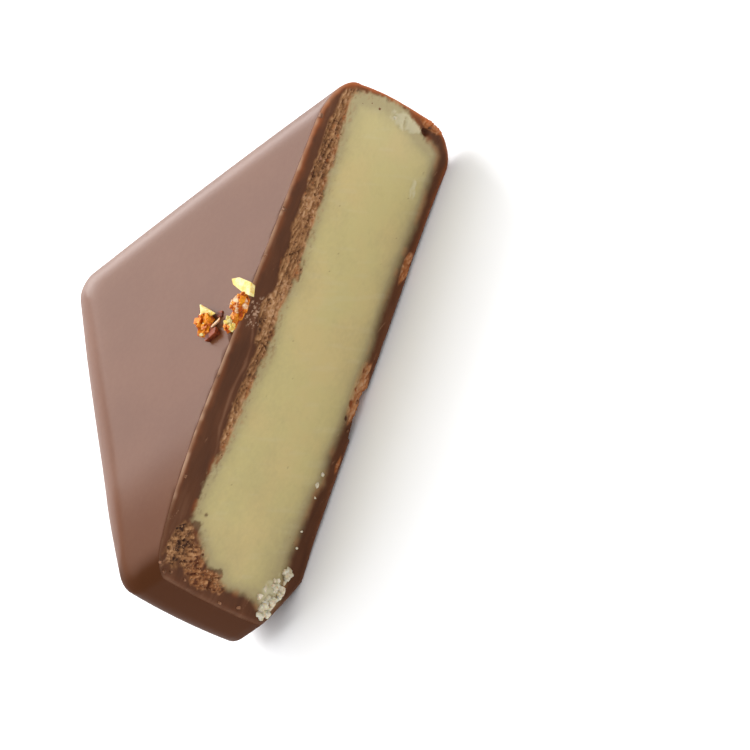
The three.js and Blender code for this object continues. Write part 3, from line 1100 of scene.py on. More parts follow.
class Shade:
    """A number that varies over a surface, written in plain arithmetic."""

    def __init__(self, bench: "Bench", socket: bpy.types.NodeSocket) -> None:
        """Wrap a socket of a bench's tree."""
        self.bench = bench
        self.socket = socket

    def _math(self, operation: str, *terms: "Shade | float") -> "Shade":
        """Add a Math node for one operation.

        Args:
            operation: Its name.
            *terms: Values or shades.

        Returns:
            The result.
        """
        inputs = dict(enumerate(terms))
        node = self.bench.node("ShaderNodeMath", {"operation": operation}, inputs)
        return Shade(self.bench, node.outputs[0])

    def __add__(self, other: "Shade | float") -> "Shade":
        """Return the sum."""
        return self._math("ADD", self, other)

    __radd__ = __add__

    def __sub__(self, other: "Shade | float") -> "Shade":
        """Return the difference."""
        return self._math("SUBTRACT", self, other)

    def __rsub__(self, other: "Shade | float") -> "Shade":
        """Return the reflected difference."""
        return self._math("SUBTRACT", other, self)

    def __mul__(self, other: "Shade | float") -> "Shade":
        """Return the product."""
        return self._math("MULTIPLY", self, other)

    __rmul__ = __mul__

    def kept(self, low: float = 0.0, high: float = 1.0) -> "Shade":
        """Return the value held between two limits."""
        return self._math("MAXIMUM", self._math("MINIMUM", self, high), low)

    def rise(self, low: float, high: float) -> "Shade":
        """Return a smooth rise from 0 at low to 1 at high."""
        node = self.bench.node(
            "ShaderNodeMapRange",
            {"interpolation_type": "SMOOTHSTEP"},
            {"Value": self, "From Min": low, "From Max": high},
        )
        return Shade(self.bench, node.outputs["Result"])


class Bench:
    """Writes the node tree of one finish."""

    def __init__(self, name: str) -> None:
        """Start an empty material with an output node."""
        self.material = bpy.data.materials.new(name)
        self.material.use_nodes = True
        self.tree = self.material.node_tree
        self.tree.nodes.clear()
        self.output = self.tree.nodes.new("ShaderNodeOutputMaterial")
        self.place = self.node("ShaderNodeTexCoord").outputs["Object"]

    def node(
        self, kind: str, settings: dict | None = None, inputs: dict | None = None
    ) -> bpy.types.Node:
        """Add a node, set it up and fill its sockets.

        Args:
            kind: The node's type.
            settings: Its properties. "stops" holds a ramp's places and colours.
            inputs: Values or links by socket name or number.

        Returns:
            The node.
        """
        made = self.tree.nodes.new(kind)
        for key, value in (settings or {}).items():
            if key == "stops":
                self._set_stops(made.color_ramp, value)
            else:
                setattr(made, key, value)
        for key, value in (inputs or {}).items():
            socket = made.inputs[key]
            if isinstance(value, Shade):
                self.tree.links.new(value.socket, socket)
            elif isinstance(value, bpy.types.NodeSocket):
                self.tree.links.new(value, socket)
            else:
                socket.default_value = value
        return made

    @staticmethod
    def _set_stops(ramp: bpy.types.ColorRamp, stops: list[tuple[float, tuple]]) -> None:
        """Give a ramp its places and colours.

        Args:
            ramp: The ramp.
            stops: A place in 0..1 and a colour each.
        """
        while len(ramp.elements) < len(stops):
            ramp.elements.new(0.5)
        for element, (place, colour) in zip(ramp.elements, stops):
            element.position = place
            element.color = (*colour, 1.0)

    def attribute(self, name: str) -> Shade:
        """Read a number that the mesh carries."""
        node = self.node("ShaderNodeAttribute", {"attribute_name": name})
        return Shade(self, node.outputs["Fac"])

    def noise(
        self,
        size: float,
        detail: float = 3.0,
        stretch: tuple[float, float, float] = (1.0, 1.0, 1.0),
        offset: float = 0.0,
    ) -> Shade:
        """Add noise in 0..1 whose features have a given size.

        Args:
            size: Of the features, in millimetres.
            detail: Octaves.
            stretch: Their length along each axis, in sizes.
            offset: Moves the pattern, so that two don't match.

        Returns:
            The noise.
        """
        scale = tuple(1.0 / (size * METRES * s) for s in stretch)
        mapping = self.node(
            "ShaderNodeMapping",
            inputs={"Vector": self.place, "Location": (offset,) * 3, "Scale": scale},
        )
        node = self.node(
            "ShaderNodeTexNoise",
            inputs={"Vector": mapping.outputs[0], "Scale": 1.0, "Detail": detail},
        )
        return Shade(self, node.outputs["Fac"])

    def mix(self, share: Shade | float, first: object, second: object) -> bpy.types.NodeSocket:
        """Mix two colours.

        Args:
            share: Of the second colour.
            first: A colour or a link.
            second: Likewise.

        Returns:
            The colour's socket.
        """
        colours = [
            (*c, 1.0) if isinstance(c, tuple) and len(c) == 3 else c for c in (first, second)
        ]
        node = self.node(
            "ShaderNodeMix", {"data_type": "RGBA"}, {0: share, 6: colours[0], 7: colours[1]}
        )
        return node.outputs[2]

    def ramp(
        self, value: Shade, stops: tuple[tuple[float, tuple[float, ...]], ...]
    ) -> bpy.types.NodeSocket:
        """Turn a value into a colour by a ramp."""
        node = self.node("ShaderNodeValToRGB", {"stops": stops}, {"Fac": value})
        return node.outputs["Color"]

    def bump(self, height: Shade, distance: float) -> bpy.types.NodeSocket:
        """Turn a height into a normal.

        Args:
            height: In 0..1.
            distance: What 1 stands for, in millimetres.

        Returns:
            The normal's socket.
        """
        inputs = {"Height": height, "Distance": distance * METRES, "Strength": 1.0}
        return self.node("ShaderNodeBump", inputs=inputs).outputs["Normal"]

    def surface(self, **sockets: object) -> bpy.types.Material:
        """End the tree in a Principled shader.

        Args:
            **sockets: Values or links, with underscores for spaces.

        Returns:
            The material.
        """
        inputs = {name.replace("_", " "): value for name, value in sockets.items()}
        shader = self.node("ShaderNodeBsdfPrincipled", inputs=inputs)
        self.tree.links.new(shader.outputs[0], self.output.inputs["Surface"])
        return self.material


Colour = tuple[float, float, float]


@dataclass(frozen=True)
class ShellFinish:
    """The outside of the coat: set milk chocolate with a satin gloss, and a painted shade on the left
    wall.
    """

    name: str = "milk_chocolate_outside"
    colour: Colour = (0.115, 0.039, 0.0150)
    pale: Colour = (0.131, 0.047, 0.0195)
    # side: painted shade, the darker colour laid on the left wall
    side: Colour = (0.0725, 0.0240, 0.0088)
    gloss: float = 0.27

    def material(self) -> bpy.types.Material:
        """Write the material.

        Returns:
            The material with its node tree.
        """
        bench = Bench(self.name)
        cloud = bench.noise(7.0, 3.0)
        fine = bench.noise(0.35, 2.0, offset=3.0)
        colour = bench.mix((cloud * 0.7 + fine * 0.3).rise(0.35, 0.7), self.colour, self.pale)
        # The left wall gets the side colour as painted shade, and less coat gloss.
        side = bench.attribute("side")
        return bench.surface(
            Base_Color=bench.mix(side, colour, self.side),
            Roughness=0.42 + 0.06 * bench.noise(2.5, 3.0, offset=8.0),
            Normal=bench.bump(fine, 0.0006),
            IOR=FAT_IOR,
            Specular_IOR_Level=0.03,
            Coat_Weight=(1 - side) * self.gloss,
            Coat_Roughness=0.27,
            Coat_IOR=FAT_IOR,
        )


@dataclass(frozen=True)
class CutPaint:
    """The colours of the cut, laid out by the numbers that its points carry."""

    smooth_dark: Colour = (0.058, 0.018, 0.0060)
    smooth: Colour = (0.092, 0.0300, 0.0100)
    smooth_light: Colour = (0.230, 0.105, 0.055)
    # painted shade for the crevices of the broken chocolate
    crevice_shade: Colour = (0.040, 0.013, 0.005)
    broken: Colour = (0.222, 0.096, 0.034)
    flake: Colour = (0.460, 0.242, 0.105)
    # orange: the painted glow along the outer edge, and the orange-tan of broken bits
    orange: Colour = (0.470, 0.110, 0.020)
    # bloom of torn chocolate, also the colour of the painted highlight along the cut's edge
    bloom_and_highlight: Colour = (0.590, 0.380, 0.250)
    paste: Colour = (0.515, 0.432, 0.194)
    paste_warm: Colour = (0.540, 0.428, 0.196)
    paste_in_shade: Colour = (0.375, 0.305, 0.152)
    # the marzipan's colour in painted shade
    paste_white: Colour = (0.560, 0.510, 0.340)
    speck: Colour = (0.200, 0.140, 0.055)

    def colour(self, bench: Bench) -> bpy.types.NodeSocket:
        """Write the colour into a bench's tree.

        Args:
            bench: Of the finish that gets the colour.

        Returns:
            The colour's socket.
        """
        tone = bench.attribute("tone")
        fine = bench.noise(0.16, 3.0, (2.0, 1.0, 0.8))
        smooth = bench.ramp(tone, ((0.15, self.smooth_dark), (0.5, self.smooth),
                                   (1.0, self.smooth_light)))
        grain = tone + (fine - 0.5) * 0.35
        rough = bench.ramp(grain, ((0.08, self.crevice_shade), (0.5, self.broken), (1.0, self.flake)))
        chocolate = bench.mix(bench.attribute("broken"), smooth, rough)
        # painted orange glow along the edge, with real orange-tan bits
        chocolate = bench.mix(bench.attribute("orange_and_glow") * 0.85, chocolate, self.orange)
        chocolate = bench.mix(bench.attribute("pale") * 0.85, chocolate, self.bloom_and_highlight)
        grit = bench.noise(0.4, 4.0, offset=4.0)
        marzipan = bench.mix(bench.noise(4.5).rise(0.4, 0.65), self.paste, self.paste_warm)
        shade_and_grey = (bench.attribute("shade_and_grey") + (grit - 0.5) * 0.4).kept()
        marzipan = bench.mix(shade_and_grey, marzipan, self.paste_in_shade)
        marzipan = bench.mix(bench.attribute("white"), marzipan, self.paste_white)
        marzipan = bench.mix(bench.attribute("speck") * 0.8, marzipan, self.speck)
        return bench.mix(bench.attribute("paste"), chocolate, marzipan)


@dataclass(frozen=True)
class CutFinish:
    """The cut through one of the two bodies: the same paint, with its own depth of light."""

    name: str
    glow: float
    paint: CutPaint = CutPaint()
    roughness: float = 0.55

    def material(self) -> bpy.types.Material:
        """Write the material.

        Returns:
            The material with its node tree.
        """
        bench = Bench(self.name)
        fine = bench.noise(0.25, 3.0, (1.5, 1.0, 1.0))
        return bench.surface(
            Base_Color=self.paint.colour(bench),
            Roughness=self.roughness + 0.15 * fine,
            Normal=bench.bump(fine, 0.02),
            Subsurface_Weight=self.glow,
            Subsurface_Radius=(1.0, 0.7, 0.35),
            Subsurface_Scale=0.0005,
            IOR=FAT_IOR,
            Specular_IOR_Level=0.2,
        )


class Morsel(Enum):
    """What a small crumb is made of."""

    NUT = "almond"
    FROST = "sugar"
    AMBER = "clear caramel"
    SCORCHED = "burnt caramel"
    PASTE = "marzipan"
    CHOCOLATE = "chocolate"


@dataclass(frozen=True)
class CrumbFinish:
    """The finish of one kind of crumb: glassy where it is sugar."""

    name: str
    dark: Colour
    light: Colour
    roughness: float
    glow: float
    gloss: float = 0.5

    def material(self) -> bpy.types.Material:
        """Write the material.

        Returns:
            The material with its node tree.
        """
        bench = Bench(self.name)
        blend = bench.noise(0.5, 3.0)
        fine = bench.noise(0.12, 2.0, offset=6.0)
        colour = bench.mix((blend * 0.7 + fine * 0.3).rise(0.38, 0.62), self.dark, self.light)
        return bench.surface(
            Base_Color=colour,
            Roughness=self.roughness + 0.2 * fine,
            Normal=bench.bump(fine, 0.02),
            Subsurface_Weight=self.glow,
            Subsurface_Radius=(1.0, 0.5, 0.2),
            Subsurface_Scale=0.0005,
            IOR=SUGAR_IOR,
            Specular_IOR_Level=self.gloss,
        )


# ---- Crumbs ----


@dataclass(frozen=True)
class Shard:
    """One broken grain: a hull of points, with its edges taken off.

    The points are given corners, the moved corners of a block, or scattered for soft grains.
    """

    kind: Morsel
    place: tuple[float, float, float]
    size: tuple[float, float, float]
    turn: float
    tilt: float
    seed: int
    soft: bool = False
    corners: tuple[tuple[float, float, float], ...] = ()

    @property
    def edge_width(self) -> float:
        """How much is taken off the edges."""
        if self.corners:
            return 0.06
        return (0.2 if self.soft else 0.1) * min(self.size)

    def hull_points(self) -> np.ndarray:
        """Work out the points of the hull.

        Returns:
            Rows of xyz from the shard's place.
        """
        if self.corners:
            return np.array(self.corners) * np.array(self.size)
        rng = np.random.default_rng(self.seed)
        if self.soft:
            directions = rng.normal(size=(18, 3))
            directions /= np.linalg.norm(directions, axis=1, keepdims=True)
            return directions * rng.uniform(0.75, 1.0, (18, 1)) * np.array(self.size)
        block = np.stack(np.meshgrid([-1, 1], [-1, 1], [-1, 1]), axis=-1).reshape(-1, 3)
        return block * rng.uniform(0.5, 1.0, (8, 3)) * np.array(self.size)

    def add_to(self, target: bmesh.types.BMesh, slot: int) -> None:
        """Add the shard's faces to a mesh in the making.

        Args:
            target: The mesh.
            slot: The number of its material slot.
        """
        turned = Matrix.Rotation(math.radians(self.turn), 4, "Z") @ Matrix.Rotation(
            math.radians(self.tilt), 4, "X"
        )
        made = bmesh.new()
        for row in self.hull_points():
            made.verts.new(turned @ Vector(row) + Vector(self.place))
        hull = bmesh.ops.convex_hull(made, input=made.verts)
        loose = [g for g in hull["geom_interior"] if isinstance(g, bmesh.types.BMVert)]
        bmesh.ops.delete(made, geom=loose, context="VERTS")
        bmesh.ops.bevel(
            made,
            geom=list(made.edges),
            offset=self.edge_width,
            segments=2,
            affect="EDGES",
            profile=0.5,
            clamp_overlap=True,
        )
        for face in made.faces:
            face.material_index = slot
            face.smooth = self.soft
        scratch = bpy.data.meshes.new("shard")
        made.to_mesh(scratch)
        made.free()
        target.from_mesh(scratch)
        bpy.data.meshes.remove(scratch)


@dataclass(frozen=True)
class Cluster:
    """A granular lump: a core with small grains grown over it."""

    kind: Morsel
    place: tuple[float, float, float]
    size: tuple[float, float, float]
    grain: float
    count: int
    seed: int
    pale_share: float = 0.0
    pale_kind: Morsel = Morsel.NUT
    core_share: float = 0.8
    grains_at: float = 0.78  # of the way out to the size

    def shards(self) -> list[Shard]:
        """Grow the lump.

        Returns:
            The core and its grains.
        """
        rng = np.random.default_rng(self.seed)
        soft = self.kind is Morsel.PASTE
        core_size = tuple(self.core_share * s for s in self.size)
        found = [Shard(self.kind, self.place, core_size, 0.0, 0.0, self.seed, soft)]
        for k in range(self.count):
            direction = rng.normal(size=3)
            direction /= np.linalg.norm(direction)
            direction[2] = abs(direction[2])
            place = np.array(self.place) + direction * np.array(self.size) * self.grains_at
            grain = self.grain * rng.uniform(0.6, 1.25)
            size = tuple(grain * rng.uniform(0.7, 1.2, 3))
            pale = rng.uniform() < self.pale_share * max(direction[2], 0.2) * 1.6
            kind = self.pale_kind if pale else self.kind
            turn, tilt = rng.uniform(0, 180, 2)
            place_of = tuple(float(p) for p in place)
            found.append(Shard(kind, place_of, size, turn, tilt, self.seed * 97 + k, soft))
        return found


@dataclass(frozen=True)
class Crumbs:
    """A piece made of single shards and of clusters."""

    name: str
    finishes: tuple[tuple[Morsel, CrumbFinish], ...]
    shards: tuple[Shard, ...] = ()
    clusters: tuple[Cluster, ...] = ()

    def build(self, placement: Placement) -> bpy.types.Object:
        """Build all crumbs as one piece.

        Args:
            placement: Puts them in their place.

        Returns:
            The piece.
        """
        slots = {kind: slot for slot, (kind, _) in enumerate(self.finishes)}
        grown = [shard for cluster in self.clusters for shard in cluster.shards()]
        made = bmesh.new()
        for shard in [*self.shards, *grown]:
            shard.add_to(made, slots[shard.kind])
        bmesh.ops.recalc_face_normals(made, faces=made.faces)
        mesh = bpy.data.meshes.new(self.name)
        made.to_mesh(mesh)
        made.free()
        placement.move(mesh)
        for _, finish in self.finishes:
            mesh.materials.append(finish.material())
        return as_object(mesh, self.name)


def brittle_crumbs() -> Crumbs:
    """Lay out the crumbs of almond brittle on the top, beside the cut.

    Returns:
        The crumbs.
    """
    nut, frost, amber, scorched = Morsel.NUT, Morsel.FROST, Morsel.AMBER, Morsel.SCORCHED
    almond = CrumbFinish("brittle_almond", (0.70, 0.46, 0.08), (0.80, 0.68, 0.32), 0.4, 0.3, 0.2)
    sugar = CrumbFinish("brittle_sugar", (0.60, 0.24, 0.08), (0.82, 0.56, 0.36), 0.5, 0.2, 0.2)
    caramel = CrumbFinish("brittle_amber", (0.36, 0.050, 0.002), (0.82, 0.28, 0.012), 0.3, 0.2,
                          0.15)
    burnt = CrumbFinish("brittle_scorched", (0.08, 0.014, 0.006), (0.26, 0.055, 0.018), 0.4, 0.1,
                        0.15)
    pyramid = (
        (0.42, 1.18, 0.0), (-0.11, -1.12, 0.0), (-0.46, 0.56, -0.05), (-0.52, -0.3, -0.1),
        (0.02, 0.35, 0.34), (0.1, 0.5, -0.5), (-0.1, -0.4, -0.5),
    )
    wedge_outline = (
        (0.43, 1.2), (0.63, 0.43), (0.4, -1.07), (-0.61, -1.45), (-0.46, -0.63), (-0.16, 0.27),
        (0.03, 0.82),
    )
    wedge = tuple((x, y, 0.22) for x, y in wedge_outline) + tuple(
        (0.85 * x, 0.9 * y, -0.35) for x, y in wedge_outline
    )
    return Crumbs(
        "brittle_crumbs",
        ((nut, almond), (frost, sugar), (amber, caramel), (scorched, burnt)),
        (
            Shard(nut, (0.02, 3.18, 14.3), (1.0, 1.0, 1.0), 0.0, 0.0, 4, corners=pyramid),
            Shard(scorched, (-1.6, 2.05, 13.85), (0.42, 0.8, 0.34), 35.0, 0.0, 11),
            Shard(scorched, (-1.35, 2.5, 13.85), (0.4, 0.5, 0.3), 60.0, 10.0, 13),
            # a small dark shard beside the almond, partly burnt caramel and partly a stand-in for the
            # shadow there
            Shard(scorched, (0.0, 2.2, 13.7), (0.32, 0.3, 0.14), 20.0, 0.0, 12),
            Shard(frost, (-1.0, 2.24, 14.02), (0.1, 0.95, 0.09), 52.0, 0.0, 14),
            Shard(nut, (2.25, 0.72, 14.0), (1.0, 1.0, 1.0), 0.0, 0.0, 25, corners=wedge),
        ),
        (
            Cluster(amber, (-0.8, 3.2, 14.0), (0.82, 0.82, 0.5), 0.25, 30, 31, 0.15),
            Cluster(amber, (-1.45, 3.0, 13.9), (0.55, 0.7, 0.42), 0.22, 20, 32, 0.1),
            Cluster(amber, (0.93, 0.0, 14.05), (0.85, 0.72, 0.6), 0.26, 36, 33, 0.5, frost),
            Cluster(amber, (0.05, 0.0, 13.9), (0.5, 0.45, 0.42), 0.22, 16, 34),
            Cluster(amber, (-0.6, 0.38, 13.92), (0.62, 0.5, 0.4), 0.22, 24, 35, 0.8),
        ),
    )


def marzipan_shavings() -> Crumbs:
    """Lay out the pale shavings that cling to the cut, most of them at its lower left.

    Returns:
        The shavings.
    """
    paste = Morsel.PASTE
    finish = CrumbFinish("marzipan_shaving", (0.50, 0.42, 0.27), (0.74, 0.66, 0.52), 0.6, 0.3, 0.2)
    singles = (
        ((-15.9, 0.0, 0.85), (0.3, 0.2, 0.2)),
        ((-8.3, 0.0, 1.3), (0.32, 0.16, 0.2)),
        ((-7.4, 0.0, 1.15), (0.28, 0.18, 0.24)),
        ((-9.2, 0.02, 1.05), (0.16, 0.12, 0.14)),
        ((-11.9, 0.02, 1.1), (0.14, 0.12, 0.12)),
        ((-13.2, 0.02, 0.95), (0.18, 0.12, 0.14)),
        ((18.9, 0.1, 6.9), (0.26, 0.16, 0.34)),
        ((19.0, 0.1, 5.6), (0.26, 0.16, 0.4)),
    )
    clusters = (
        ((-15.2, -0.05, 0.65), (0.44, 0.3, 0.7), 0.34, 7),
        ((-16.4, 0.0, 1.45), (0.56, 0.26, 0.52), 0.34, 7),
        ((-17.0, 0.02, 0.85), (0.6, 0.24, 0.44), 0.36, 6),
        ((-17.8, -0.05, 1.35), (0.95, 0.32, 0.68), 0.42, 9),
        ((-18.5, -0.05, 1.75), (0.6, 0.28, 0.52), 0.34, 7),
        ((-17.5, 0.06, 2.3), (0.7, 0.18, 0.45), 0.3, 5),
    )
    return Crumbs(
        "marzipan_shavings",
        ((paste, finish),),
        tuple(
            Shard(paste, place, size, 20.0 * k, 10.0, 61 + k, True)
            for k, (place, size) in enumerate(singles)
        ),
        tuple(
            Cluster(paste, place, size, grain, count, 71 + k)
            for k, (place, size, grain, count) in enumerate(clusters)
        ),
    )


def loose_chocolate_bits() -> Crumbs:
    """Lay out the bits of chocolate that stick to the edges of the cut.

    Returns:
        The bits.
    """
    bit = Morsel.CHOCOLATE
    finish = CrumbFinish("chocolate_bit", (0.10, 0.036, 0.013), (0.30, 0.14, 0.07), 0.5, 0.0, 0.2)
    shrink = 0.8
    bits = (
        ((16.2, -0.05, 13.55), (0.28, 0.2, 0.2)),
        ((13.4, 0.0, 12.2), (0.26, 0.16, 0.18)),
        ((8.7, -0.05, 13.6), (0.4, 0.2, 0.13)),
        ((5.0, -0.02, 13.62), (0.22, 0.16, 0.1)),
        ((-4.6, -0.02, 13.6), (0.24, 0.16, 0.1)),
        ((-12.2, -0.02, 13.1), (0.18, 0.16, 0.12)),
        ((-18.65, -0.04, 12.4), (0.16, 0.14, 0.2)),
        ((-19.1, -0.04, 11.75), (0.2, 0.16, 0.16)),
        ((-18.95, -0.04, 11.2), (0.2, 0.14, 0.12)),
        ((-19.05, 0.1, 9.66), (0.24, 0.2, 0.16)),
        ((-19.4, -0.02, 5.95), (0.14, 0.14, 0.2)),
        ((-19.1, -0.02, 4.1), (0.14, 0.14, 0.24)),
        ((-1.3, 0.0, 0.6), (0.3, 0.16, 0.18)),
        ((-3.6, 0.0, 0.45), (0.3, 0.16, 0.16)),
        ((19.6, 0.05, 3.5), (0.2, 0.14, 0.26)),
        ((18.9, 0.06, 8.6), (0.16, 0.12, 0.16)),
        ((19.0, 0.06, 9.5), (0.14, 0.12, 0.14)),
        ((18.6, 0.06, 10.3), (0.16, 0.12, 0.14)),
    )
    return Crumbs(
        "loose_chocolate_bits",
        ((bit, finish),),
        tuple(
            Shard(bit, place, tuple(shrink * s for s in size), 35.0 * k, 12.0 * k, 81 + k)
            for k, (place, size) in enumerate(bits)
        ),
    )


@dataclass(frozen=True)
class BrokenGrains:
    """Grains of chocolate strewn over the broken parts of the cut by Geometry Nodes."""

    relief: CutRelief
    name: str = "broken_chocolate_grains"
    density: float = 11.0  # to a square millimetre
    smallest: float = 0.035
    largest: float = 0.13
    seed: int = 5
    step: float = 0.16
    sunk: float = 0.03
    x_reach: tuple[float, float] = (-19.4, 19.6)
    z_reach: tuple[float, float] = (0.4, 13.2)
    lowest: float = 3.0
    clearly: float = 0.6  # what counts as broken, and as no marzipan
    finish: CrumbFinish = CrumbFinish(
        "broken_chocolate_grain", (0.11, 0.040, 0.014), (0.40, 0.20, 0.09), 0.5, 0.0, 0.2
    )

    def bed(self) -> bpy.types.Mesh:
        """Lay the bed of the grains.

        Returns:
            The broken parts of the cut as a mesh.
        """
        x, z = np.meshgrid(
            np.arange(*self.x_reach, self.step), np.arange(*self.z_reach, self.step)
        )
        cut = self.relief.surface(x, z)
        points = np.stack([x, cut.depth + self.sunk, z], axis=-1).reshape(-1, 3)
        numbers = np.arange(x.size).reshape(x.shape)
        kept = (cut.broken > self.clearly) & (cut.paste < self.clearly) & (z > self.lowest)
        kept = kept[:-1, :-1] & kept[1:, 1:]
        a, b = numbers[:-1, :-1][kept], numbers[:-1, 1:][kept]
        c, d = numbers[1:, 1:][kept], numbers[1:, :-1][kept]
        return mesh_from("grain_bed", points, np.column_stack([a, b, c, d]))

    def tree(self) -> tuple[bpy.types.NodeTree, dict[str, str]]:
        """Write the node tree that strews the grains.

        Returns:
            The tree, and the identifier of each input by its name.
        """
        tree = bpy.data.node_groups.new("strewn_grains", "GeometryNodeTree")
        kinds = {
            "Bed": "NodeSocketGeometry",
            "Density": "NodeSocketFloat",
            "Smallest": "NodeSocketFloat",
            "Largest": "NodeSocketFloat",
            "Seed": "NodeSocketInt",
            "Material": "NodeSocketMaterial",
        }
        names = {
            name: tree.interface.new_socket(name=name, in_out="INPUT", socket_type=kind).identifier
            for name, kind in kinds.items()
        }
        tree.interface.new_socket(
            name="Grains", in_out="OUTPUT", socket_type="NodeSocketGeometry"
        )

        def add(kind: str, links: dict, **settings: object) -> bpy.types.Node:
            """Add a node to the tree.

            Args:
                kind: The node's type.
                links: Values or links by socket name or number.
                **settings: Its properties.

            Returns:
                The node.
            """
            made = tree.nodes.new(kind)
            for key, value in settings.items():
                setattr(made, key, value)
            for key, value in links.items():
                if isinstance(value, bpy.types.NodeSocket):
                    tree.links.new(value, made.inputs[key])
                else:
                    made.inputs[key].default_value = value
            return made

        given = tree.nodes.new("NodeGroupInput").outputs
        spread = add(
            "GeometryNodeDistributePointsOnFaces",
            {"Mesh": given["Bed"], "Density": given["Density"], "Seed": given["Seed"]},
        )
        grain = add("GeometryNodeMeshIcoSphere", {"Radius": 1.0, "Subdivisions": 1})
        turn = add(
            "FunctionNodeRandomValue",
            {0: (0.0, 0.0, 0.0), 1: (math.tau, math.tau, math.tau), "Seed": given["Seed"]},
            data_type="FLOAT_VECTOR",
        )
        squash = add(
            "FunctionNodeRandomValue",
            {0: (0.5, 0.5, 0.5), 1: (1.2, 1.2, 1.2), "Seed": 3},
            data_type="FLOAT_VECTOR",
        )
        size = add(
            "FunctionNodeRandomValue",
            {2: given["Smallest"], 3: given["Largest"], "Seed": 7},
            data_type="FLOAT",
        )
        scale = add(
            "ShaderNodeVectorMath",
            {0: squash.outputs[0], "Scale": size.outputs[1]},
            operation="SCALE",
        )
        strewn = add(
            "GeometryNodeInstanceOnPoints",
            {
                "Points": spread.outputs["Points"],
                "Instance": grain.outputs["Mesh"],
                "Rotation": turn.outputs[0],
                "Scale": scale.outputs[0],
            },
        )
        real = add("GeometryNodeRealizeInstances", {"Geometry": strewn.outputs[0]})
        dressed = add(
            "GeometryNodeSetMaterial", {"Geometry": real.outputs[0], "Material": given["Material"]}
        )
        end = tree.nodes.new("NodeGroupOutput")
        tree.links.new(dressed.outputs[0], end.inputs[0])
        return tree, names

    def build(self, placement: Placement) -> bpy.types.Object:
        """Strew the grains.

        Args:
            placement: Puts them in their place.

        Returns:
            The piece.
        """
        bed = as_object(self.bed())
        tree, names = self.tree()
        modifier = bed.modifiers.new("grains", "NODES")
        modifier.node_group = tree
        modifier[names["Density"]] = self.density
        modifier[names["Smallest"]] = self.smallest
        modifier[names["Largest"]] = self.largest
        modifier[names["Seed"]] = self.seed
        modifier[names["Material"]] = self.finish.material()
        mesh = plain_mesh(bed, self.name)
        gone = bed.data
        bpy.data.objects.remove(bed)
        bpy.data.meshes.remove(gone)
        bpy.data.node_groups.remove(tree)
        placement.move(mesh)
        return as_object(mesh, self.name)


# ---- The coat and the marzipan ----


@dataclass(frozen=True)
class Praline:
    """The cut half: the chocolate coat round its marzipan."""

    square: Square = Square()
    coat_name: str = "chocolate_shell"
    core_name: str = "marzipan_filling"
    coat_knife: Knife = Knife(0.065)
    core_knife: Knife = Knife(0.1)
    shell_finish: ShellFinish = ShellFinish()
    coat_finish: CutFinish = CutFinish("milk_chocolate_cut", 0.0)
    core_finish: CutFinish = CutFinish("marzipan_cut", 0.2)
    wall_shade_ends: tuple[float, float] = (0.8, 0.985)  # how far up the surface may face and still get the left wall's painted shade
    wall_shade_starts: tuple[float, float] = (0.0, 0.2)  # how far left it has to face to get it

    def outer(self) -> RoundedBody:
        """Return the coat's outer form."""
        return RoundedBody(
            square=self.square,
            side=0.0,
            left_side=0.0,
            rim=Edge(3.6, 2.8, 2.0),
            left_rim=Edge(2.1, 1.3, 2.0),
            foot=Edge(1.9, 2.7, 1.8),
            left_foot=Edge(3.4, 2.2, 1.15),
            left_power=2.7,
        )

    def core(self) -> CoreBody:
        """Return the marzipan's form."""
        return CoreBody(
            square=self.square,
            side=0.6,
            left_side=1.0,
            right_side=0.4,
            rim=Edge(1.0, 0.9, 2.0),
            left_rim=Edge(3.1, 5.6, 1.25),
            foot=Edge(1.2, 1.6, 2.0),
            left_foot=Edge(2.3, 1.6, 1.3),
        )

    def cut(self) -> CutRelief:
        """Return the relief of the cut."""
        return CutRelief(self.outer().section())

    def build_coat(self, placement: Placement) -> bpy.types.Object:
        """Build the coat, open at the cut.

        Args:
            placement: Puts it in its place.

        Returns:
            The piece.
        """
        relief = self.cut()
        mesh = subtract(
            self.outer().mesh(self.coat_name, Source.OUTSIDE),
            self.core().mesh("room_for_marzipan", Source.CAVITY),
            self.coat_knife.mesh("coat_knife", relief),
        )
        points = coordinates(mesh)
        relief.surface(points[:, 0], points[:, 2]).write(mesh)
        # the mask of the left wall's painted shade and its lesser gloss
        write_attribute(mesh, "side", self._left_wall_shade(facing(mesh)))
        finish_cut_body(mesh)
        placement.move(mesh)
        mesh.materials.append(self.shell_finish.material())
        mesh.materials.append(self.coat_finish.material())
        return as_object(mesh, self.coat_name)

    def _left_wall_shade(self, normals: np.ndarray) -> np.ndarray:
        """Tell the left wall, where the coat is duller and gets a painted shade.

        Args:
            normals: Rows of xyz.

        Returns:
            1 on the left wall and 0 elsewhere.
        """
        turn = self.square.turn
        leftward = -normals[:, 0] * math.cos(turn) - normals[:, 1] * math.sin(turn)
        upright = 1 - smooth_rise(normals[:, 2], *self.wall_shade_ends)
        return upright * smooth_rise(leftward, *self.wall_shade_starts)

    def build_core(self, placement: Placement) -> bpy.types.Object:
        """Build the marzipan.

        Args:
            placement: Puts it in its place.

        Returns:
            The piece.
        """
        relief = self.cut()
        mesh = subtract(
            self.core().mesh(self.core_name, Source.OUTSIDE),
            self.core_knife.mesh("core_knife", relief),
        )
        points = coordinates(mesh)
        relief.surface(points[:, 0], points[:, 2]).write(mesh)
        finish_cut_body(mesh)
        placement.move(mesh)
        mesh.materials.append(self.core_finish.material())
        mesh.materials.append(mesh.materials[0])
        return as_object(mesh, self.core_name)


# ---- The studio ----


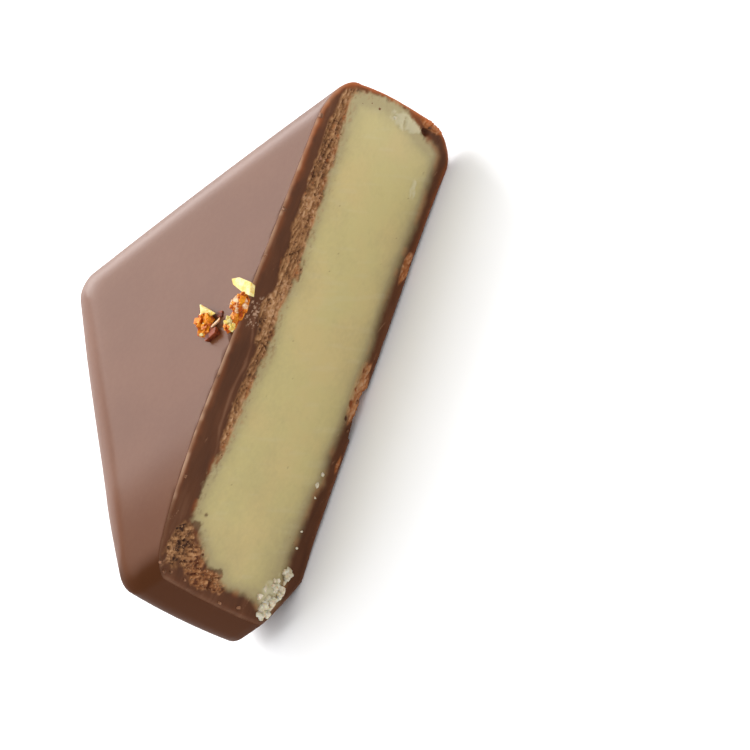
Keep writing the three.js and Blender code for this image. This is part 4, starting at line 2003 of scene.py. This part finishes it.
@dataclass(frozen=True)
class Lamp:
    """A rectangular soft light that points at the middle of the piece."""

    name: str
    azimuth: float
    elevation: float
    distance: float
    width: float
    height: float
    radiance: float

    def build(self) -> None:
        """Hang the light."""
        light = bpy.data.lights.new(self.name, "AREA")
        light.shape = "RECTANGLE"
        light.size = self.width
        light.size_y = self.height
        light.energy = self.radiance * math.pi * self.width * self.height
        made = bpy.data.objects.new(self.name, light)
        made.visible_camera = False
        bpy.context.scene.collection.objects.link(made)
        a, e = math.radians(self.azimuth), math.radians(self.elevation)
        away = Vector((math.sin(a) * math.cos(e), math.cos(a) * math.cos(e), math.sin(e)))
        made.location = away * self.distance
        made.rotation_mode = "QUATERNION"
        made.rotation_quaternion = (-away).to_track_quat("-Z", "Y")


@dataclass(frozen=True)
class Studio:
    """A white floor, a bright surround, a soft light behind, and the camera."""

    floor_half: float = 3.0
    floor_colour: Colour = (0.955, 0.960, 0.972)
    floor_cloud: Colour = (0.960, 0.964, 0.975)
    surround: float = 0.85
    lamps: tuple[Lamp, ...] = (
        Lamp("softbox_behind", 20.5, 30.0, 0.22, 0.120, 0.215, 7.4),
        Lamp("softbox_above", -35.0, 62.0, 0.8, 0.6, 0.6, 2.6),
        Lamp("bright_backdrop", 10.0, 8.0, 1.0, 1.8, 0.42, 2.3),
    )
    azimuth: float = -10.58
    elevation: float = 39.356
    roll: float = -63.885
    target: tuple[float, float, float] = (1.974, -7.772, -2.316)
    distance: float = 390.223
    focal_length: float = 249.64
    sensor: float = 36.0

    def build(self) -> None:
        """Build it all."""
        self._floor()
        self._surround()
        for lamp in self.lamps:
            lamp.build()
        self._camera()

    def _floor(self) -> None:
        """Lay the floor at the height of the base."""
        h = self.floor_half
        corners = np.array([(-h, -h, 0), (h, -h, 0), (h, h, 0), (-h, h, 0)], float)
        mesh = mesh_from("studio_floor", corners, [(0, 1, 2, 3)])
        bench = Bench("studio_floor")
        cloud = bench.noise(60.0, 1.0)
        colour = bench.mix(cloud, self.floor_colour, self.floor_cloud)
        mesh.materials.append(bench.surface(Base_Color=colour, Roughness=0.9))
        as_object(mesh)

    def _surround(self) -> None:
        """Light the scene evenly from all sides."""
        world = bpy.data.worlds.new("studio_surround")
        world.use_nodes = True
        background = world.node_tree.nodes["Background"]
        background.inputs["Color"].default_value = (1.0, 1.0, 1.0, 1.0)
        background.inputs["Strength"].default_value = self.surround
        bpy.context.scene.world = world
        bpy.context.scene.view_settings.view_transform = "Standard"

    def _camera(self) -> None:
        """Set the camera at the photograph's angle."""
        a, e = math.radians(self.azimuth), math.radians(self.elevation)
        forward = Vector(
            (-math.sin(a) * math.cos(e), math.cos(a) * math.cos(e), -math.sin(e))
        )
        data = bpy.data.cameras.new("camera")
        data.lens = self.focal_length
        data.sensor_width = self.sensor
        data.clip_start = 0.01
        data.clip_end = 20.0
        made = bpy.data.objects.new("camera", data)
        bpy.context.scene.collection.objects.link(made)
        made.location = (Vector(self.target) - forward * self.distance) * METRES
        made.rotation_mode = "QUATERNION"
        upright = forward.to_track_quat("-Z", "Y")
        made.rotation_quaternion = upright @ Quaternion((0, 0, 1), math.radians(self.roll))
        bpy.context.scene.camera = made


def report(piece: bpy.types.Object) -> None:
    """Log a piece's name and number of triangles."""
    triangles = sum(len(p.vertices) - 2 for p in piece.data.polygons)
    LOG.info("%s: %d triangles", piece.name, triangles)


def main() -> None:
    """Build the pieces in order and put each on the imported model."""
    logging.basicConfig(level=logging.INFO, format="%(message)s")
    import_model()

    Studio().build()
    praline = Praline()
    placement = Placement.over(praline.outer(), "chocolate_coat")
    LOG.info("placement shift in mm: %s", placement.shift)

    coat = praline.build_coat(placement)
    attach(coat, "root")
    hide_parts("chocolate_coat")
    report(coat)

    marzipan = praline.build_core(placement)
    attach(marzipan, "root")
    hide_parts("marzipan")
    report(marzipan)

    brittle = brittle_crumbs().build(placement)
    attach(brittle, "root")
    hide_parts("chocolate_coat")
    report(brittle)

    grains = BrokenGrains(praline.cut()).build(placement)
    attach(grains, "root")
    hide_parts("chocolate_coat")
    report(grains)

    bits = loose_chocolate_bits().build(placement)
    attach(bits, "root")
    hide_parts("chocolate_coat")
    report(bits)

    shavings = marzipan_shavings().build(placement)
    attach(shavings, "root")
    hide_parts("marzipan")
    report(shavings)


if __name__ == "__main__":
    main()
